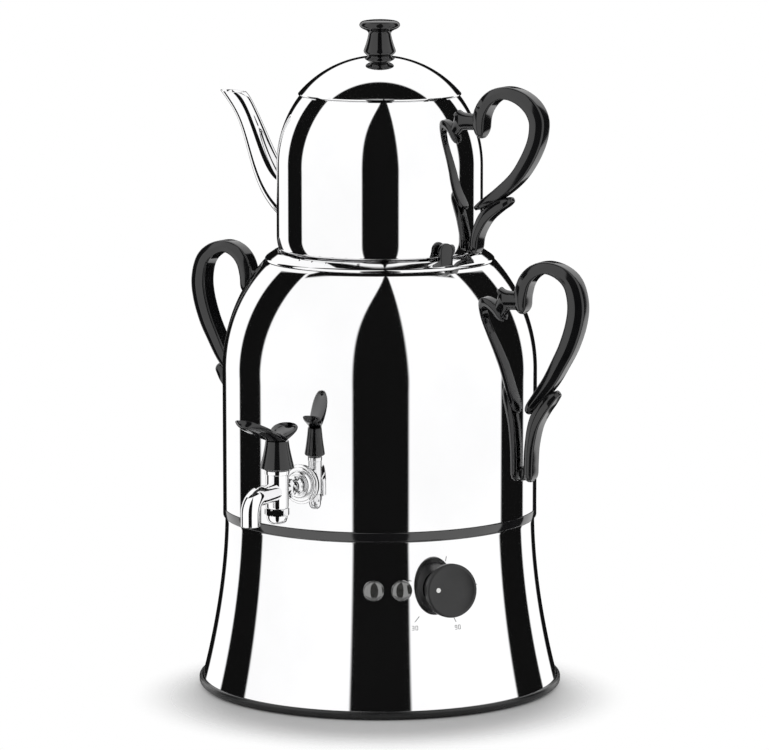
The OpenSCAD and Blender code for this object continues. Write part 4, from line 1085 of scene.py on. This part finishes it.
@dataclass
class TeapotCover(Part):
    """Domed teapot lid with its black knob."""

    body: Body = Body.COVER
    edge_z: float = 397.39
    edge_r: float = 54.2
    sphere_r: float = 71.0
    wall: float = 0.8
    collar_in: float = 50.9
    collar_out: float = 51.7
    collar_deep: float = 7.0

    @property
    def centre_z(self) -> float:
        """Height of the sphere's centre: the rim's top less the sphere's drop there."""
        return self.edge_z + 0.8 - math.sqrt(self.sphere_r**2 - self.edge_r**2)

    def lid(self) -> Object:
        """Lid: a spherical sheet with a rolled rim, and a collar that dips into the pot."""

        def dome(radius: float, start: float, end: float, steps: int) -> np.ndarray:
            """Run on a sphere from one distance off the axis to another."""
            a, b = (math.degrees(math.acos(r / radius)) for r in (start, end))
            return arc(0, self.centre_z, radius, radius, a, b, steps)

        r, z, within = self.edge_r, self.edge_z, self.sphere_r - self.wall
        outer = dome(self.sphere_r, r, 0.0, 60)
        a, b, low = self.collar_in, self.collar_out, z - self.collar_deep
        inner, under_rim = dome(within, 0.0, b, 40), dome(within, 51.9, r - self.wall, 3)
        rim = [[r - self.wall, z], [r - 0.1, z], [r, z + 0.15]]
        collar = [[a, inner[-1][1] - 0.4], [a, low], [b, low], [b, under_rim[0][1]]]
        profile = joined(rim, outer, inner[:-2], collar, under_rim)
        return lathe("teapot_lid_sheet", profile, 256, sharp=35)

    def knob(self) -> Object:
        """Mushroom knob: a waisted stem under a rounded cap, its foot cut to the lid."""
        foot = self.centre_z + self.sphere_r - 0.3
        rows = [(8.2, -0.1), (8.8, 0.6), (9.8, 1.5), (10.6, 2.7), (10.5, 4), (9.5, 6.8), (8.4, 10.4),
                (7.6, 14), (7.55, 15.2), (8.7, 16.6), (11.9, 18.2), (13.3, 19.6), (13.4, 20.9), (12.5, 22.3),
                (10.4, 23.2), (6, 23.8), (0, 23.99)]
        run = catmull(rows, 5)
        run[:, 1] += foot
        r = np.linspace(0, 8.2, 8)
        under = np.stack([r, self.centre_z + np.sqrt((self.sphere_r + 0.02) ** 2 - r**2)], axis=1)
        return lathe("teapot_lid_knob", joined(under, run), 96, sharp=35)

    def build(self) -> None:
        """Makes lid and knob."""
        self.add(self.lid(), "mirror_steel", "teapot_lid")
        self.add(self.knob(), "black_bakelite", "lid_knob")


# ----- Studio -----


@dataclass
class Studio:
    """Camera, floor, lamps and the surroundings that the polished metal shows."""

    azimuth: float = 29.2
    distance: float = 2.900
    height: float = 0.645
    target_z: float = 0.209
    lens: float = 204.9
    shift_right: float = 0.00318
    floor_r: float = 0.75
    # painted shadow on the floor: its grey, how far towards the camera its middle sits, and the radii over
    # which it fades out
    painted_shadow_grey: float = 0.52
    painted_shadow_ahead: float = 0.045
    fade_from: float = 0.1
    fade_to: float = 0.168
    plain: float = 0.80
    tent: float = 1.12
    gap_drop: float = 1.115
    lamp_watts: float = 2.5
    lamp_distance: float = 1.6
    lamp_aim: float = 0.22

    def basis(self) -> tuple[np.ndarray, np.ndarray]:
        """Horizontal directions towards the camera and to its right."""
        a = math.radians(self.azimuth)
        return np.array([math.sin(a), -math.cos(a), 0.0]), np.array([math.cos(a), math.sin(a), 0.0])

    def camera(self) -> None:
        """Camera at the photograph's place; it and its aim are both moved a little to the right."""
        towards, right = self.basis()
        data = bpy.data.cameras.new("camera")
        data.lens, data.sensor_width, data.sensor_fit = self.lens, 36.0, "HORIZONTAL"
        data.clip_start, data.clip_end = 0.1, 50.0
        cam = bpy.data.objects.new("camera", data)
        bpy.context.scene.collection.objects.link(cam)
        aside = right * self.shift_right
        cam.location = Vector(towards * self.distance + aside + np.array([0, 0, self.height]))
        aim = Vector(aside + np.array([0, 0, self.target_z]))
        cam.rotation_euler = (aim - cam.location).to_track_quat("-Z", "Y").to_euler()
        bpy.context.scene.camera = cam

    def floor(self) -> None:
        """Round floor, grey round the base as a painted shadow whose middle sits a little towards the camera;
        it fades out to clear so the white world shows past it, and the real shadow falls on it too.
        """
        mesh = bpy.data.meshes.new("floor")
        t = np.arange(96) * TAU / 96
        ring = np.stack([self.floor_r * np.cos(t), self.floor_r * np.sin(t), 0 * t], axis=1)
        mesh.from_pydata(ring, [], [list(range(96))])
        obj = bpy.data.objects.new("floor", mesh)
        bpy.context.scene.collection.objects.link(obj)
        made = bpy.data.materials.new("floor")
        made.use_nodes = True
        made.node_tree.nodes.clear()
        graph = Graph(made.node_tree)
        # the floor's grey is a painted shadow, darkest next to the base and fading out to clear
        painted_shadow = graph.add("BsdfDiffuse", {"Color": (*[self.painted_shadow_grey] * 3, 1)})
        clear = graph.add("BsdfTransparent")
        place = graph.add("TexCoord").outputs["Object"]
        middle = self.basis()[0] * self.painted_shadow_ahead
        ahead = graph.add("VectorMath", {0: place, 1: middle}, operation="SUBTRACT").outputs["Vector"]
        length = graph.add("VectorMath", {0: ahead}, operation="LENGTH").outputs["Value"]
        fade = graph.add("MapRange", {"Value": length, "From Min": self.fade_from, "From Max": self.fade_to},
                         interpolation_type="SMOOTHSTEP").outputs["Result"]
        mix = graph.add("MixShader", {"Fac": fade, 1: painted_shadow.outputs[0], 2: clear.outputs[0]})
        graph.add("OutputMaterial", {"Surface": mix.outputs[0]})
        mesh.materials.append(made)

    def world(self) -> None:
        """White to the camera; to polished metal a white tent with dark gaps; plain light otherwise.

        The tent's gaps are where the photographed reflections have them: one behind the camera that
        closes to a point overhead, one on each side, one behind the object, and one in the roof.
        Turn is measured from the camera and rise from level, both in degrees.
        """
        world = bpy.data.worlds.new("studio")
        bpy.context.scene.world = world
        world.use_nodes = True
        world.node_tree.nodes.clear()
        graph = Graph(world.node_tree)
        calc = graph.math

        def above(value: object, edge: object, soft: float) -> object:
            """0 below the edge and 1 above it, over the given width."""
            return calc("MULTIPLY_ADD", calc("SUBTRACT", value, edge), 1.0 / soft, 0.5, clamp=True)

        def below(value: object, edge: object, soft: float) -> object:
            """1 below the edge and 0 above it."""
            return calc("SUBTRACT", 1.0, above(value, edge, soft))

        def bent(value: object, full: float, power: float, by: float, start: object) -> object:
            """Start, plus by times the value's share of full to a power."""
            return calc("MULTIPLY_ADD", calc("POWER", calc("DIVIDE", value, full), power), by, start)

        def product(first: object, *others: object) -> object:
            """Product of the values, which is 1 where all of them are."""
            for other in others:
                first = calc("MULTIPLY", first, other)
            return first

        x, y, z = graph.add("SeparateXYZ", {0: graph.add("TexCoord").outputs["Generated"]}).outputs
        a, b = (calc("ADD", calc("MULTIPLY", x, float(way[0])), calc("MULTIPLY", y, float(way[1])))
                for way in self.basis())
        turn = calc("DEGREES", calc("ARCTAN2", b, a))
        rise = calc("DEGREES", calc("ARCSINE", z))
        up, wide, hand = calc("MAXIMUM", rise, 0.0), calc("ABSOLUTE", turn), calc("SIGN", turn)
        # gap behind the camera, from left to right
        left = bent(up, 78.0, 3.5, 34.0, -19.6)
        right = calc("MULTIPLY_ADD", up, -0.04, 21.1)
        front = product(above(turn, left, 1.6), below(turn, right, 1.6), below(rise, 77.5, 1.0))
        # gaps on both sides, from near to far under a slanting roof line
        near = bent(up, 47.0, 3.0, 9.0, calc("MULTIPLY_ADD", hand, 1.4, 98.4))
        far = bent(up, 27.0, 2.0, 5.0, calc("MULTIPLY_ADD", hand, 3.0, 127.2))
        roof = calc("MULTIPLY_ADD", calc("SUBTRACT", wide, 112.0), -0.8, 47.0)
        sides = product(above(wide, near, 1.6), below(wide, far, 1.6), below(rise, roof, 2.0))
        # gap behind the object
        back = product(above(wide, 153.0, 2.0), below(rise, 18.0, 2.0))
        # gap in the roof, bounded on the plane one unit up
        high = calc("MAXIMUM", z, 0.05)
        fa, fb = calc("DIVIDE", a, high), calc("DIVIDE", b, high)
        bow = calc("MULTIPLY_ADD", calc("MULTIPLY", fb, fb), -0.55, 0.24)
        hatch = product(above(fa, -0.2, 0.03), below(fa, bow, 0.03), above(z, 0.3, 0.02))
        dark = calc("MAXIMUM", calc("MAXIMUM", front, sides), calc("MAXIMUM", back, hatch))
        level = calc("MULTIPLY_ADD", dark, -self.gap_drop, self.tent)
        # glossy rays see the tent, camera and transmission rays see white, all else is plain
        path = graph.add("LightPath").outputs
        glossy = calc("MULTIPLY", path["Is Glossy Ray"], calc("SUBTRACT", level, self.plain))
        white = calc("MAXIMUM", path["Is Camera Ray"], path["Is Transmission Ray"])
        white = calc("MULTIPLY", white, 1.0 - self.plain)
        total = calc("ADD", calc("ADD", glossy, white), self.plain)
        shade = graph.add("Background", {"Color": (1, 1, 1, 1), "Strength": total})
        graph.add("OutputWorld", {"Surface": shade.outputs[0]})

    def softbox(self, name: str, turn: float, rise: float, wide: float, tall: float) -> None:
        """Area lamp of that size at that turn from the camera and that rise, aimed at the object."""
        data = bpy.data.lights.new(name, "AREA")
        data.shape, data.size, data.size_y, data.energy = "RECTANGLE", wide, tall, self.lamp_watts
        obj = bpy.data.objects.new(name, data)
        bpy.context.scene.collection.objects.link(obj)
        towards, right = self.basis()
        t, e = math.radians(turn), math.radians(rise)
        way = (towards * math.cos(t) + right * math.sin(t)) * math.cos(e) + np.array([0, 0, math.sin(e)])
        obj.location = Vector(way * self.lamp_distance + np.array([0, 0, self.lamp_aim]))
        obj.rotation_euler = Vector(-way).to_track_quat("-Z", "Y").to_euler()
        obj.visible_glossy = False

    def build(self) -> None:
        """Makes camera, floor, world and lamps."""
        self.camera()
        self.floor()
        self.world()
        for name, turn, rise, wide, tall in (("softbox_left", -62, 28, 0.9, 1.1),
                                             ("softbox_right", 60, 28, 0.9, 1.1),
                                             ("softbox_top", 0, 89, 1.0, 1.0)):
            self.softbox(name, turn, rise, wide, tall)
        bpy.context.scene.view_settings.view_transform = "Standard"


def dress_cad_nodes(finishes: Finishes) -> None:
    """Gives each CAD node that stays visible the finish named by its material slot."""
    slots = {s["node"]: s["material_slot"] for s in frame["record"]["subparts"]}
    for name, obj in frame["nodes"].items():
        finishes.dress(obj, slots[name])


def main() -> None:
    """Builds the part in order."""
    logging.basicConfig(level=logging.INFO, format="%(name)s: %(message)s")
    finishes = Finishes()
    dress_cad_nodes(finishes)
    tank, base = Tank(finishes), Base(finishes)
    pot_strap = (
        (8.2, -9.4, 2.0), (8, -4.6, 3.9), (8.2, 3.6, 4.6), (10.4, 9.8, 4.6), (15, 15.6, 4.4),
        (21.2, 19.2, 4.1), (29.6, 20, 4.2), (38.8, 17, 4.6), (46.2, 11.2, 5), (50.2, 4, 5.2),
        (50.6, -3.2, 5.1), (48.6, -12.3, 4.9), (43.2, -23.6, 4.7), (35.2, -34.9, 4.3), (23.4, -45.2, 3.8),
        (11.2, -53.2, 2.7), (4.8, -56.8, 1.4))
    pot_stem = (
        (4.3, -3.4, 1.8), (4.3, -0.4, 3.0), (5.2, 7, 3.2), (7.9, 14, 3.6), (12.5, 21.3, 4.1),
        (20.4, 27.6, 3.8), (26.8, 31, 3.0), (30.6, 32.6, 1.6))
    parts: list[Part] = [
        tank, base, RingLid(finishes, tank=tank),
        ScrollHandle(finishes, name="handle_right", node="right_handle", turn=3.3),
        ScrollHandle(finishes, name="handle_left", node="left_handle", turn=176.7),
        Tap(finishes), Controls(finishes, base=base), Teapot(finishes),
        ScrollHandle(finishes, body=Body.TEAPOT, name="handle_teapot", node="teapot_handle", turn=0.0,
                     wall_x=68.7, foot_z=299.67, boss_z=382.17, half_w=7.4, boss_r=5.8, boss_from=60.0,
                     strap=pot_strap, stem=pot_stem),
        TeapotCover(finishes)]
    for part in parts:
        part.build()
        for name in part.made:
            log.info("%s: %s, %d faces", type(part).__name__, name, len(bpy.data.objects[name].data.polygons))
    Studio().build()


if __name__ == "__main__":
    main()
